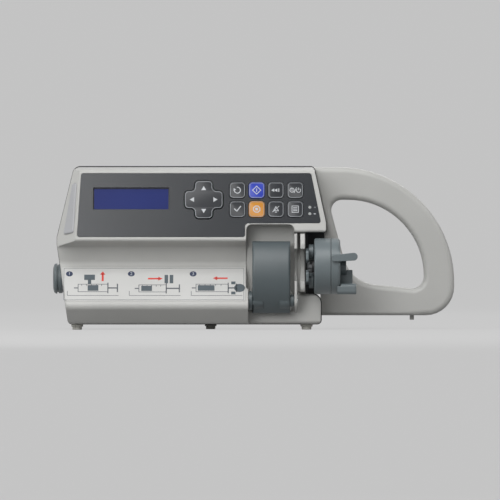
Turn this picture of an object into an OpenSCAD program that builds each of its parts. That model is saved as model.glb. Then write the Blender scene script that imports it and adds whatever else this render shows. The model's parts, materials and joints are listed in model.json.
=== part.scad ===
// Syringe pump: case with sloped control panel and syringe cradle, screw-driven
// plunger driver, swinging barrel clamp, carry handle and pole clamp.
// Millimetres. +X along the syringe towards the plunger, front faces -Y, +Z up.
// The origin is at the middle of the footprint, on the surface it stands on.

/* [Case] */
// Overall length from the pole clamp's knob to the end of the handle
total_length = 340; // [330:1:370]
// Length of the case from its left side to the end wall by the driver
case_length = 209; // [200:1:220]
// Height of the case's top above the surface it stands on
case_height = 137; // [134:1:150]
// Depth of the rear shell behind the seam
rear_depth = 34; // [32:1:45]
// Wall thickness of both shells
wall = 2.5; // [2:0.1:3]
// Thickness of the seal between the shells
gasket_t = 1; // [0.6:0.1:2]
// How far the seal's bead stands out round the case
gasket_proud = 0.9; // [0.2:0.1:1.2]
// How far the case's left side leans in from the lip to the base
left_lean_low = 9.5; // [4:0.5:14]
// How far the case's left side leans in from the lip to the top
left_lean_high = 14.5; // [8:0.5:20]
// How far the hood reaches past the end wall, over the driver
hood_reach = 17.2; // [12:0.2:24]
// How far the hood's right side leans in towards the top
hood_lean = 10.2; // [4:0.2:14]
// Gap between the driver and the hood above it
hood_gap = 5.2; // [3:0.1:9]
// How far the low block under the driver reaches past the end wall
block_reach = 13; // [8:0.5:16]
// How much higher the low block's top is than the driver's underside
block_lap = 0.2; // [0:0.1:2]

/* [Panel] */
// Tilt of the control panel from the vertical
panel_tilt = 11.9; // [6:0.1:16]
// Height of the panel's lower edge above the surface
panel_foot_z = 77.9; // [75:0.1:80]
// Distance of the panel's lower edge in front of the seam
panel_foot_y = 49.4; // [46:0.2:54]
// Thickness of the overlay sheet
overlay_t = 0.6; // [0.4:0.1:1.2]
// Width of the display window
lcd_w = 63.8; // [54:0.2:70]
// Strip of panel below the display window
lcd_low = 23.5; // [16:0.1:26]
// Strip of panel above the display window
lcd_high = 12.3; // [8:0.1:16]
// Width of a key
key_w = 13.2; // [11:0.1:14]
// Strip of panel between the key columns
key_column_strip = 3; // [2.4:0.1:4]
// Strip of panel between the key rows
key_row_strip = 2.6; // [2.2:0.1:5]
// Strip of panel between the notch and the keys
keys_low = 5.1; // [4:0.1:8]
// Strip of panel above the keys
keys_high = 7.85; // [5:0.05:10]
// How far a key can be pressed
key_travel = 0.6; // [0.3:0.1:1]
// Length of the arrow pad's side arms from tip to tip
pad_span = 32.4; // [28:0.2:36]
// Width of the arrow pad's arms
pad_arm = 15.2; // [12:0.2:17]
// Diameter of a status lamp
lamp_d = 2.4; // [1.6:0.2:3]
// Angle of the left cheek behind the panel
cheek_angle = 50; // [40:1:60]

/* [Cradle] */
// Distance of the cradle's back wall in front of the seam
cradle_y = 30; // [28:0.5:32]
// Distance of the nose in front of the seam
nose_y = 61.8; // [58:0.2:66]
// Height of the nose's edge
nose_z = 20; // [16:0.5:23]
// Height where the label slope meets the back wall
slope_top_z = 55; // [50:0.5:58]
// Length of the barrel clamp along the syringe
clamp_w = 31.9; // [24:0.1:34]
// Outer radius of the barrel clamp's arc
clamp_r = 40; // [38:0.5:42]
// Thickness of the barrel clamp
clamp_t = 5; // [4:0.5:6]
// Radius of the clamp's hinge pin
hinge_pin_r = 2; // [1.5:0.1:3]
// Thickness of the flange plate
flange_plate_t = 4; // [3:0.2:5]
// Width of the slot for the barrel's flange
flange_slot = 2.5; // [1.5:0.1:3.5]

/* [Driver] */
// Radius of the plunger driver
drum_r = 23.5; // [20:0.5:26]
// Distance of the driver's axis in front of the seam
drum_y = 46; // [42:0.5:48]
// Height of the driver's axis
drum_z = 53.3; // [50:0.1:56]
// Length of the driver's body
drum_len = 13.8; // [12:0.2:18]
// Length of the driver's cap
cap_len = 8; // [6:0.5:10]
// How far the clutch's wings reach past the driver
wing_len = 14.4; // [10:0.2:18]
// Radius of the drive tube
tube_r = 7.5; // [6:0.1:8]
// Length of the case that its ends and the drive itself take from the driver's travel
travel_loss = 104; // [103:1:125]

/* [Drive train] */
// Radius of the lead screw
screw_r = 4; // [3:0.1:4.5]
// Radius of the guide rod
rod_r = 4; // [3:0.1:5]
// Radius of the belt pulleys
pulley_r = 9; // [7:0.5:11]
// Side of the motor's square body
motor_side = 35; // [28:1:39]

/* [Handle] */
// Thickness of the handle from front to back
handle_t = 25; // [20:0.5:26]
// Radius of the handle's large outer bend
handle_bend = 97; // [80:1:99]
// Width of the handle's grip at the right
handle_grip = 25.5; // [22:0.5:30]
// Width of the handle's top bar
handle_bar = 27.5; // [22:0.5:30]
// Rounding of the handle's edges
handle_edge = 5; // [3:0.5:7]

/* [Pole clamp] */
// Radius of the pole that the clamp's seat is cut for
pole_r = 12.6; // [10:0.1:13]
// Travel of the pole clamp's pad
pad_travel = 15; // [10:0.5:16]
// Radius of the knob
knob_r = 13; // [11:0.5:15]
// How far the knob stands out past the case
knob_stand_out = 5; // [3:0.5:8]
// Radius of the clamp's spindle
spindle_r = 4; // [3:0.1:5]
// Height of the clamp's jaws
jaw_h = 30; // [24:1:36]

/* [Feet and fasteners] */
// Height of the feet
foot_h = 5; // [3:0.5:7]
// Radius of a foot
foot_r = 5; // [4:0.25:6]
// Radius of a case screw
case_screw_r = 1.5; // [1.2:0.1:1.8]

/* [Clearances] */
// Radial gap of a running fit
run_gap = 0.05; // [0.02:0.01:0.1]
// Gap between a moving piece and its opening
move_gap = 0.35; // [0.3:0.05:0.5]
// Gap of a piece that is set into another
set_gap = 0.1; // [0.05:0.05:0.2]

/* [Hidden] */
$fn = 64;
arc_steps = 8;

// Main stations of the case
left_x = knob_stand_out - total_length / 2;
end_x = left_x + case_length;
handle_x = total_length / 2;
hood_z = drum_z + drum_r + hood_gap;
block_z = drum_z - drum_r + block_lap;
drive_travel = case_length - travel_loss;
cradle_end_t = 2.5;
cradle_end_x = end_x - flange_plate_t - 0.5 - flange_slot - cradle_end_t;
clamp_side = 3.4;
clamp_x = cradle_end_x - clamp_side - clamp_w;
bulge_x = clamp_x - clamp_side;
rear_y = gasket_t + rear_depth;
base_z = foot_h;
far = 2 * total_length;
skin = 0.01;

// Panel: its lower edge, its height along the tilt and its outline
foot_y = -panel_foot_y;
frame_top = 5.5;
panel_len = (case_height - frame_top - panel_foot_z) / cos(panel_tilt);
panel_left_x = left_x + 17;
panel_right_x = end_x + hood_reach - 4.2;
panel_lean_left = 3.4;
panel_lean_right = 8.4;
notch_x = bulge_x - 2.7;
notch_v = (hood_z + 7.5 - panel_foot_z) / cos(panel_tilt);
top_front_y = foot_y + (case_height - 3 - panel_foot_z) * tan(panel_tilt);
lip_drop = 3.3;
lip_z = panel_foot_z - lip_drop;
lip_y = foot_y - lip_drop * tan(panel_tilt);
hood_lip_y = foot_y + (hood_z - panel_foot_z) * tan(panel_tilt);
panel_face = [
    [panel_left_x, 0, 2], [notch_x, 0, 2], [notch_x, notch_v, 3],
    [panel_right_x, notch_v, 2], [panel_right_x - panel_lean_right, panel_len, 2],
    [panel_left_x + panel_lean_left, panel_len, 2]
];

// Layout of the panel: u along the length, v up the slope
key_flange = 0.8;
key_h = (panel_len - notch_v - keys_low - keys_high - key_row_strip) / 2;
key_pitch_v = key_h + key_row_strip;
row_top_v = panel_len - keys_high - key_h / 2;
lcd_h = panel_len - lcd_low - lcd_high;
lcd_v = lcd_low + lcd_h / 2;
lcd_sink = 0.65 * wall;
key_pitch_x = key_w + key_column_strip;
keys_w = 3 * key_pitch_x + key_w;
panel_free = panel_right_x - panel_left_x - lcd_w - pad_span - keys_w;
lcd_u = panel_left_x + 0.29 * panel_free + lcd_w / 2;
pad_u = lcd_u + lcd_w / 2 + 0.272 * panel_free + pad_span / 2;
pad_v = row_top_v - key_pitch_v / 2;
pad_rise = 2 * key_pitch_v;
key_last_u = pad_u + pad_span / 2 + 0.117 * panel_free + keys_w - key_w / 2;
lamp_u = key_last_u + key_w / 2 + 0.12 * panel_free;
lamp_vs = [row_top_v - 1.24 * key_pitch_v, row_top_v - 0.896 * key_pitch_v];
board_low_v = notch_v + keys_low - key_flange;
board_high_v = panel_len - keys_high + 3;
key_proud = key_travel + 0.1;
key_round = 3.2;
pad_round = min(3.6, (pad_span - pad_arm) / 4.5);
pad_fillet = min(3.2, (pad_span - pad_arm) / 5);
key_stem = 1;
key_base_w = -wall - move_gap - key_flange;
board_gap = key_travel + 0.9;
board_w = key_base_w - key_stem - board_gap;
board_t = 1.6;
board_edge = 2.6;
board_u = pad_u - pad_span / 2 - board_edge;
board_post_r = 1.2;
pad_proud = 1.1;
pad_depth = wall + 0.3;
pivot_r = 2.5;

// Cheek: a facet from the panel's left edge back to the case's side
cheek_u = panel_left_x - 1.2;
cheek_skew = -3.5;
lens_t = 2;
lens_sink = 1.2;
lens_face = [[-16.5, 4, 2], [-3, 4, 2], [-3, 47, 2], [-8.5, 47, 2]];

// Cradle, barrel clamp and flange plate
slope_angle = atan2(slope_top_z - nose_z, nose_y - cradle_y);
slope_len = norm([slope_top_z - nose_z, nose_y - cradle_y]);
nose_r = 5;
block_y = cradle_y + 6;
notch_r = 13.5;
holder_web = 1.5;
clamp_front_y = -58;
clamp_cy = clamp_front_y + clamp_r;
clamp_cz = 44;
clamp_low_z = clamp_cz - 0.7525 * clamp_r;
clamp_high_z = clamp_cz + 0.7575 * clamp_r;
hinge_y = clamp_cy - 0.7 * clamp_r;
hinge_z = clamp_cz - 0.49 * clamp_r;
hinge_boss_r = 7;
hinge_pocket_r = hinge_boss_r + 6.5;
knuckle_w = 9;
pocket_top_z = hood_z + 6.5;
pocket_r = 5;
hinge_end = 5;

// Driver, drive tube and the carriage inside the case
drum_x = end_x + 7.2;
cap_x = drum_x + drum_len;
tip_x = cap_x + cap_len;
tube_y = -tube_r - 4.5;
tube_bore_r = tube_r - 2.5;
arm_r = tube_r + 2.5;
shaft_r = tube_bore_r - 2;
carriage_len = 20;
carriage_x = end_x - 14 - drive_travel - carriage_len - 5;
screw_y = tube_y + tube_r + screw_r + 4.5;
nut_drop = 3;
nut_half = screw_r + 2.5;
nut_low_z = drum_z - 11;
rod_z = nut_low_z - nut_drop - rod_r - 4;
carriage_top_z = drum_z + tube_r + 4;
carriage_low_z = rod_z - rod_r - 4;
shield_t = 1.5;
shield_back_t = 1.2;
bush_r = tube_r + 2;
button_r = 5;
claw_y = -drum_y + 9;
claw_rise = 12;
claw_pin_r = 2.5;
claw_gap = 4.5;
claw_t = 2.5;
claw_boss_r = 6.5;
clutch_hub_r = 8;
clutch_hub_len = 5;
wing_t = 6.8;
wing_rise = 8.4;
wing_root_t = 5.4;
wing_root_rise = 6.6;
wing_proud = 2.6;
wing_x = cap_x + 2 * move_gap;
wing_end_x = tip_x + wing_len;
web_t = 8;
grip_drop = 19;
grip_t = 9;
grip_depth = 26;
grip_forward = 4;
grip_lap = 2.6;

// Chassis plates, belt drive and motor
plate_t = 3;
plate_left_x = carriage_x - 22;
plate_right_x = end_x - 14;
bearing_r = screw_r + 3;
belt_w = 6;
belt_t = 1.5;
pulley_x = plate_left_x - 5 - belt_w;
motor_z = carriage_top_z + motor_side / 2 + 6;
motor_len = 32;
motor_shaft_r = 2.5;
board_x = plate_left_x + plate_t + motor_len + 5;
main_y = -8;

// Handle: outer and inner outlines
handle_y = rear_y - 4 - handle_t;
handle_low_z = 11.8;
handle_corner = 24;
outer_bend = min(handle_bend, handle_x - end_x - hood_reach - 2,
    case_height - handle_low_z - handle_corner - 2);
handle_root_x = end_x + 20;
hole_left_x = end_x + 19.3;
hole_high_z = case_height - handle_bar;
hole_right_x = handle_x - handle_grip;
hole_low_z = 33.5;
hole_bend = min(handle_bend - 32.6, hole_right_x - hole_left_x - 10, hole_high_z - hole_low_z - 11);
handle_face = [
    [end_x + block_reach, handle_low_z, 0], [handle_x, handle_low_z, handle_corner],
    [handle_x, case_height, outer_bend], [end_x + hood_reach - hood_lean, case_height, 0],
    [end_x + hood_reach, hood_z + 8, 0], [end_x + hood_reach, hood_z, 0],
    [end_x, hood_z, 0], [end_x, block_z, 0], [end_x + block_reach, block_z, 0]
];
handle_hole = [
    [end_x + 38, hole_low_z + 6.5, 30], [hole_right_x, hole_low_z, 10],
    [hole_right_x, hole_high_z, hole_bend], [hole_left_x, hole_high_z, 9]
];
peg_x = handle_x - 35.7;

// Pole clamp behind the case
spindle_y = rear_y + 20;
spindle_z = 42.8;
knob_len = 8.5;
knob_x = -total_length / 2;
knob_hub = 4.5;
lug_t = 10;
lug_x = knob_x + knob_len + knob_hub + pad_travel + 1;
pad_t = 6;
pad_x = lug_x + lug_t + 2;
pole_x = pad_x + pad_t + 11 + pole_r;
jaw_x = pole_x + 4;
jaw_end_x = pole_x + pole_r + 9;
jaw_back_y = drum_y + drum_r + wing_proud;
jaw_low_z = spindle_z - jaw_h / 2;
plate_clamp_t = 6;
clamp_screw_xs = [lug_x + 20, jaw_end_x - 28];
clamp_screw_r = 2;
clamp_screw_sink = 8;
clamp_head_t = 2;

// Rear fittings
bay_x = end_x - 108;
bay_w = 86;
bay_z = case_height - 51;
bay_h = 32;
bay_depth = 26;
fittings_len = end_x - jaw_end_x;
inlet_x = jaw_end_x + 0.294 * fittings_len;
inlet_z = 42;
inlet_w = 27;
inlet_h = 19.5;
inlet_deep = 20;
inlet_flange = 3;
port_x = jaw_end_x + 0.57 * fittings_len;
port_w = 15;
port_h = 13;
port_deep = 16;
speaker_r = 14;
speaker_x = end_x - wall - speaker_r - 4;
speaker_z = 40;
speaker_t = 6;
screw_boss_r = 4;
boss_in = wall + 3.2;
screw_sites = [
    [left_x + 19, base_z + boss_in], [left_x + 26, case_height - boss_in],
    [end_x - 100, case_height - boss_in], [end_x - 6, case_height - boss_in],
    [end_x - 4, base_z + boss_in]
];
screw_head_r = 2 * case_screw_r;
screw_head_t = 2;
front_boss = 12;
handle_screw_zs = [hood_z - 10, block_z + 10];
foot_sites = [
    [left_x + 17, -nose_y + 26], [end_x + 1, -24], [end_x - 80, 24], [end_x + 1, 24]
];

// Outlines with round corners: a corner is [x, y, radius], listed anticlockwise
function flat(p) = [p[0], p[1]];
function unit(v) = v / norm(v);
function turned(v, a) = [v[0] * cos(a) - v[1] * sin(a), v[0] * sin(a) + v[1] * cos(a)];
function corner_arc(a, b, c, r) =
    r <= 0 ? [b] :
    let (
        u = unit(a - b),
        v = unit(c - b),
        half = acos(max(-1, min(1, u * v))) / 2,
        mid = b + unit(u + v) * r / sin(half),
        start = b + u * r / tan(half) - mid,
        sweep = (cross(u, v) < 0 ? 1 : -1) * (180 - 2 * half),
        steps = max(arc_steps, ceil(r / 4))
    )
    [for (i = [0 : steps]) mid + turned(start, sweep * i / steps)];
function outline(corners) =
    let (n = len(corners))
    [for (i = [0 : n - 1])
        each corner_arc(flat(corners[(i + n - 1) % n]), flat(corners[i]),
            flat(corners[(i + 1) % n]), corners[i][2])];
function left_normal(a, b) = let (d = unit(b - a)) [-d[1], d[0]];
function inset(corners, d) =
    let (n = len(corners))
    [for (i = [0 : n - 1])
        let (
            a = flat(corners[(i + n - 1) % n]),
            b = flat(corners[i]),
            c = flat(corners[(i + 1) % n]),
            n1 = left_normal(a, b),
            n2 = left_normal(b, c),
            p = b + (n1 + n2) * d / (1 + n1 * n2),
            r = corners[i][2]
        )
        [p[0], p[1], r == 0 ? 0 : max(0, cross(b - a, c - b) > 0 ? r - d : r + d)]];
function box_corners(w, h, r) =
    [[-w / 2, -h / 2, r], [w / 2, -h / 2, r], [w / 2, h / 2, r], [-w / 2, h / 2, r]];

// The case seen from the front, as [x, z]
case_face = [
    [left_x + left_lean_low, base_z, 3], [end_x + block_reach, base_z, 3],
    [end_x + block_reach, block_z, 8], [end_x, block_z, 0], [end_x, hood_z, 0],
    [end_x + hood_reach, hood_z, 2], [end_x + hood_reach, hood_z + 8, 4],
    [end_x + hood_reach - hood_lean, case_height, 3], [left_x + left_lean_high, case_height, 6],
    [left_x, panel_foot_z, 6], [left_x, lip_z - 3, 6]
];
// The case cut across, as [y, z]: left of the clamp with the label slope, and right of it
case_top = [
    [rear_y, base_z, 5], [rear_y, case_height, 6], [0, case_height, 0],
    [top_front_y, case_height - 3, 4]
];
left_section = [
    [-nose_y + 15.8, base_z, 6], each case_top, [lip_y, lip_z, 2],
    [-cradle_y - 3, lip_z - 4.6, 3], [-cradle_y, slope_top_z, 6], [-nose_y, nose_z, nose_r]
];
right_section = [
    [-block_y, base_z, 3], each case_top, [hood_lip_y, hood_z, 2],
    [-cradle_y, hood_z - 1, 0], [-cradle_y, block_z, 1.5], [-block_y, block_z, 3]
];

// Extrude a [y, z] drawing along X
module along_x(x0, x1) {
    translate([x0, 0, 0])
        rotate([90, 0, 90])
            linear_extrude(x1 - x0)
                children();
}

// Extrude an [x, z] drawing along Y
module along_y(y0, y1) {
    translate([0, y1, 0])
        rotate([90, 0, 0])
            linear_extrude(y1 - y0)
                children();
}

// Round bar along X, and along Y
module bar_x(x0, x1, y, z, r) {
    translate([x0, y, z])
        rotate([0, 90, 0])
            cylinder(h = x1 - x0, r = r);
}

module bar_y(y0, y1, x, z, r) {
    translate([x, y1, z])
        rotate([90, 0, 0])
            cylinder(h = y1 - y0, r = r);
}

// Box from its low corner to its high corner
module span(low, high) {
    translate(low)
        cube(high - low);
}

// Frames of the panel, of the cheek and of the label slope: x along, y up, z outward
module on_panel(u = 0, v = 0, w = 0) {
    translate([0, foot_y, panel_foot_z])
        rotate([90 - panel_tilt, 0, 0])
            translate([u, v, w])
                children();
}

module on_cheek(w = 0) {
    on_panel(cheek_u, 0, 0)
        rotate([0, 0, cheek_skew])
            rotate([0, -cheek_angle, 0])
                translate([0, 0, w])
                    children();
}

module on_slope() {
    translate([0, -nose_y, nose_z])
        rotate([slope_angle, 0, 0])
            children();
}

// A plate of the given corners, from w0 to w1 above the current frame
module plate(corners, w0, w1) {
    translate([0, 0, w0])
        linear_extrude(w1 - w0)
            polygon(outline(corners));
}

// What is cut from the case's outside, grown by d
module case_cuts(d) {
    on_cheek(-d)
        translate([-60, -9, 0])
            cube([60, 90, 60]);
    along_y(-far, -cradle_y + d)
        polygon(outline(inset([
            [bulge_x - 1.7, block_z + 4, 2], [cradle_end_x, block_z + 4, 2],
            [cradle_end_x, pocket_top_z, pocket_r], [bulge_x - 1.7, pocket_top_z, pocket_r]
        ], -d)));
    bar_x(bulge_x - d, cradle_end_x + d, hinge_y, hinge_z, hinge_pocket_r + d);
}

// The case as a solid, drawn in by d from its outside
module case_solid(d) {
    intersection() {
        along_y(-far, far)
            polygon(outline(inset(case_face, d)));
        union() {
            along_x(left_x - 1, bulge_x - d)
                polygon(outline(inset(left_section, d)));
            along_x(left_x - 1, end_x + hood_reach + 1)
                polygon(outline(inset(right_section, d)));
        }
    }
}

module arrow_cross(gap, w0, w1) {
    reach = pad_span / 2 + gap;
    rise = pad_rise / 2 + gap;
    arm = pad_arm / 2 + gap;
    side = min(pad_arm, pad_rise - 5) / 2 + gap;
    tip = pad_round + gap;
    crook = pad_fillet - gap;
    plate([
        [-arm, -rise, tip], [arm, -rise, tip], [arm, -side, crook], [reach, -side, tip],
        [reach, side, tip], [arm, side, crook], [arm, rise, tip], [-arm, rise, tip],
        [-arm, side, crook], [-reach, side, tip], [-reach, -side, tip], [-arm, -side, crook]
    ], w0, w1);
}

// Key places on the panel: [column, row], row 0 at the top
module at_key(column, row) {
    on_panel(key_last_u - (3 - column) * key_pitch_x, row_top_v - row * key_pitch_v)
        children();
}

// Openings of the panel, cut from w0 to w1
module panel_openings(gap, w0, w1) {
    for (column = [0 : 3], row = [0 : 1])
        at_key(column, row)
            plate(box_corners(key_w + 2 * gap, key_h + 2 * gap, key_round + gap), w0, w1);
    on_panel(pad_u, pad_v)
        arrow_cross(gap + 0.2, w0, w1);
    on_panel(lcd_u, lcd_v)
        plate(box_corners(lcd_w + 2 * set_gap, lcd_h + 2 * set_gap, 1), w0, w1);
    for (v = lamp_vs)
        on_panel(lamp_u, v, w0)
            cylinder(h = w1 - w0, d = lamp_d + 2 * set_gap);
}

// Notch that the syringe's barrel lies in, open to the front, as [y, z]
module barrel_notch() {
    translate([-drum_y, drum_z + 1])
        circle(r = notch_r);
    translate([-drum_y - 2 * notch_r, drum_z + 1 - notch_r])
        square(2 * notch_r);
}

module front_shell() {
    color([0.80, 0.80, 0.78])
    difference() {
        union() {
            difference() {
                intersection() {
                    case_solid(0);
                    span([-far, -far, -far], [far, 0, far]);
                }
                case_cuts(0);
                difference() {
                    case_solid(wall);
                    case_cuts(wall);
                }
            }
            // Boss for the left end of the hinge pin
            bar_x(bulge_x - wall - hinge_end, bulge_x - wall, hinge_y, hinge_z, hinge_pin_r + 2.5);
            // Bosses for the case screws
            for (site = screw_sites)
                bar_y(-front_boss, 0, site[0], site[1], screw_boss_r);
        }
        // Recess for the overlay and openings through the panel
        on_panel()
            plate(inset(panel_face, -set_gap), -overlay_t, wall);
        panel_openings(move_gap, -wall - 2, wall);
        on_cheek()
            plate(inset(lens_face, -set_gap), -lens_sink, lens_t);
        // Hole for the hinge pin
        bar_x(bulge_x - wall - hinge_end, end_x, hinge_y, hinge_z, hinge_pin_r + run_gap);
        // Hole for the bush of the drive tube
        bar_x(end_x - wall - 1, end_x + 1, tube_y, drum_z, bush_r + set_gap);
        for (site = screw_sites)
            bar_y(-front_boss + 1, 1, site[0], site[1], case_screw_r + run_gap);
    }
}

module rear_shell() {
    color([0.78, 0.78, 0.76])
    difference() {
        union() {
            difference() {
                intersection() {
                    case_solid(0);
                    span([-far, gasket_t, -far], [far, far, far]);
                }
                case_solid(wall);
            }
            for (site = screw_sites)
                bar_y(gasket_t, rear_y - wall, site[0], site[1], screw_boss_r);
        }
        for (site = screw_sites) {
            bar_y(0, rear_y + 1, site[0], site[1], case_screw_r + run_gap);
            bar_y(rear_y - screw_head_t - 1, rear_y + 1, site[0], site[1], screw_head_r + set_gap);
        }
        for (z = handle_screw_zs)
            bar_x(end_x - wall - 1, end_x + 1, handle_y + handle_t / 2, z, case_screw_r + run_gap);
        // Battery bay, sockets, sound holes and pole clamp screws
        span([bay_x, rear_y - wall - 1, bay_z], [bay_x + bay_w, far, bay_z + bay_h]);
        along_y(rear_y - wall - 1, far)
            translate([inlet_x, inlet_z])
                polygon(outline(box_corners(inlet_w + 2 * set_gap, inlet_h + 2 * set_gap, 3)));
        along_y(rear_y - wall - 1, far)
            translate([port_x, inlet_z])
                polygon(outline(box_corners(port_w + 2 * set_gap, port_h + 2 * set_gap, 1)));
        for (ring = [0 : 2], i = [0 : max(0, ring * 6 - 1)])
            bar_y(rear_y - wall - 1, far, speaker_x + ring * 4 * cos(i * 60 / max(1, ring)),
                speaker_z + ring * 4 * sin(i * 60 / max(1, ring)), 1.1);
        for (x = clamp_screw_xs)
            bar_y(rear_y - wall - 1, far, x, spindle_z, clamp_screw_r + run_gap);
    }
}

module case_gasket() {
    color([0.18, 0.18, 0.19])
    along_y(0, gasket_t)
        difference() {
            polygon(outline(inset(case_face, -gasket_proud)));
            polygon(outline(inset(case_face, wall)));
        }
}

module handle_layer(d, y0, y1) {
    along_y(y0, y1)
        difference() {
            polygon(outline(inset(handle_face, d)));
            polygon(outline(inset(handle_hole, -d)));
        }
}

module carry_handle() {
    color([0.76, 0.76, 0.74])
    difference() {
        union() {
            for (step = [0 : 3]) {
                angle = 90 * step / 4;
                back = handle_edge * (1 - cos(angle));
                depth = handle_edge * (1 - sin(angle));
                handle_layer(back, handle_y + depth, handle_y + handle_t - depth);
            }
            // Root that fills the side of the case behind the driver
            intersection() {
                handle_layer(0, gasket_t, handle_y + handle_t);
                span([-far, -far, -far], [handle_root_x, far, far]);
            }
        }
        for (z = handle_screw_zs)
            bar_x(end_x - 1, end_x + 8, handle_y + handle_t / 2, z, case_screw_r + run_gap);
        translate([peg_x, handle_y + handle_t / 2, handle_low_z - 1])
            cylinder(h = 7, r = 1.2 + set_gap);
    }
}

module handle_peg() {
    color([0.70, 0.70, 0.68])
    translate([peg_x, handle_y + handle_t / 2, 0]) {
        translate([0, 0, handle_low_z - 3.8])
            cylinder(h = 3.8, r = 1.8);
        translate([0, 0, handle_low_z - 1])
            cylinder(h = 7, r = 1.2);
    }
}

module panel_overlay() {
    color([0.24, 0.25, 0.27])
    difference() {
        on_panel()
            plate(panel_face, -overlay_t, 0);
        panel_openings(move_gap, -overlay_t - 1, 1);
    }
}

module lcd_window() {
    color([0.15, 0.18, 0.40])
    on_panel(lcd_u, lcd_v)
        plate(box_corners(lcd_w, lcd_h, 1), -wall, -lcd_sink);
}

module lcd_module() {
    color([0.20, 0.35, 0.22])
    on_panel(lcd_u, lcd_v) {
        plate(box_corners(lcd_w + 4, lcd_h + 10, 1), -wall - 4, -wall);
        plate(box_corners(lcd_w + 2 * board_edge, lcd_h + 12, 1), -wall - 4 - board_t, -wall - 4);
    }
}

module keypad_board() {
    color([0.15, 0.40, 0.22])
    on_panel() {
        plate([
            [board_u, board_low_v, 1], [lamp_u + 2, board_low_v, 1],
            [lamp_u - 3, board_high_v, 1], [board_u, board_high_v, 1]
        ], board_w - board_t, board_w);
        for (v = lamp_vs)
            translate([lamp_u, v, board_w])
                cylinder(h = -wall - board_w, d = lamp_d + 1.2);
        for (v = [board_low_v + board_post_r, board_high_v - board_post_r])
            translate([board_u + board_post_r, v, board_w])
                cylinder(h = -wall - board_w, r = board_post_r);
    }
}

module main_board() {
    color([0.12, 0.38, 0.20])
    {
        span([board_x, main_y, carriage_top_z + 14], [end_x - 12, main_y + board_t, case_height - 16]);
        for (x = [board_x + 4, end_x - 17], z = [carriage_top_z + 18, case_height - 18.3])
            bar_y(main_y + board_t, rear_y - wall, x, z, 2.5);
        for (chip = [[26, 18, 4], [66, 20, 3]])
            span([board_x + chip[0], main_y - chip[2], carriage_top_z + 22],
                [board_x + chip[0] + chip[1], main_y, carriage_top_z + 22 + 0.8 * chip[1]]);
    }
}

module power_board() {
    color([0.14, 0.40, 0.24])
    {
        span([end_x - 70, rear_y - wall - 5, base_z + 8],
            [end_x - 14, rear_y - wall - 5 + board_t, base_z + 20]);
        span([end_x - 62, rear_y - wall - 17, base_z + 9], [end_x - 42, rear_y - wall - 5, base_z + 19]);
        for (x = [end_x - 66, end_x - 18])
            bar_y(rear_y - wall - 5 + board_t, rear_y - wall, x, base_z + 14, 2.5);
    }
}

module battery_pack() {
    color([0.20, 0.35, 0.60])
    span([bay_x + 3, rear_y - wall - bay_depth, bay_z + 2],
        [bay_x + bay_w - 3, rear_y - wall, bay_z + bay_h - 2]);
}

module battery_cover() {
    color([0.75, 0.75, 0.73])
    along_y(rear_y - wall, rear_y)
        translate([bay_x + bay_w / 2, bay_z + bay_h / 2])
            polygon(outline(box_corners(bay_w - 2 * set_gap, bay_h - 2 * set_gap, 0)));
}

module speaker() {
    color([0.12, 0.12, 0.12])
    {
        bar_y(rear_y - wall - 2, rear_y - wall, speaker_x, speaker_z, speaker_r);
        bar_y(rear_y - wall - speaker_t, rear_y - wall - 2, speaker_x, speaker_z, speaker_r - 3);
    }
}

// Mains socket: a flange on the case, a deep shell and three blades
module power_inlet() {
    color([0.10, 0.10, 0.10])
    {
        difference() {
            union() {
                along_y(rear_y - inlet_deep, rear_y)
                    translate([inlet_x, inlet_z])
                        polygon(outline(box_corners(inlet_w, inlet_h, 3)));
                along_y(rear_y, rear_y + 2)
                    translate([inlet_x, inlet_z])
                        polygon(outline(box_corners(
                            inlet_w + 2 * inlet_flange, inlet_h + 2 * inlet_flange, 2)));
            }
            along_y(rear_y - inlet_deep + 2, rear_y + 3)
                translate([inlet_x, inlet_z])
                    polygon(outline(box_corners(inlet_w - 3, inlet_h - 3, 3)));
        }
        for (x = [-7, 0, 7])
            span([inlet_x + x - 1, rear_y - inlet_deep + 2 - skin, inlet_z - 2 + (x == 0 ? 3 : 0)],
                [inlet_x + x + 1, rear_y - 5, inlet_z + 2 + (x == 0 ? 3 : 0)]);
    }
}

module data_port() {
    color([0.16, 0.16, 0.17])
    difference() {
        union() {
            along_y(rear_y - port_deep, rear_y)
                translate([port_x, inlet_z])
                    polygon(outline(box_corners(port_w, port_h, 1)));
            along_y(rear_y, rear_y + 1)
                translate([port_x, inlet_z])
                    polygon(outline(box_corners(port_w + 4, port_h + 4, 1)));
        }
        along_y(rear_y - port_deep + 2, rear_y + 2)
            translate([port_x, inlet_z])
                polygon(outline(box_corners(port_w - 3, port_h - 3, 0.5)));
    }
}

module alarm_lens() {
    color([0.85, 0.84, 0.80])
    on_cheek()
        plate(lens_face, -lens_sink, lens_t - lens_sink);
}

module status_lamps() {
    color([0.85, 0.85, 0.80])
    for (v = lamp_vs)
        on_panel(lamp_u, v, -wall)
            cylinder(h = wall + 0.4, d = lamp_d);
}

module loading_label() {
    color([0.92, 0.92, 0.91])
    on_slope()
        plate([
            [left_x + 7.5, nose_r + 0.8, 1.5], [bulge_x - 2.5, nose_r + 0.8, 1.5],
            [bulge_x - 2.5, slope_len - 3.6, 1.5], [left_x + 4.6, slope_len - 3.6, 1.5]
        ], 0, 0.25);
}

module rubber_feet() {
    color([0.55, 0.55, 0.53])
    for (site = foot_sites)
        translate([site[0], site[1], 0]) {
            cylinder(h = foot_h / 2, r = foot_r - 1);
            translate([0, 0, foot_h / 2])
                cylinder(h = foot_h / 2, r = foot_r);
        }
}

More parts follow.
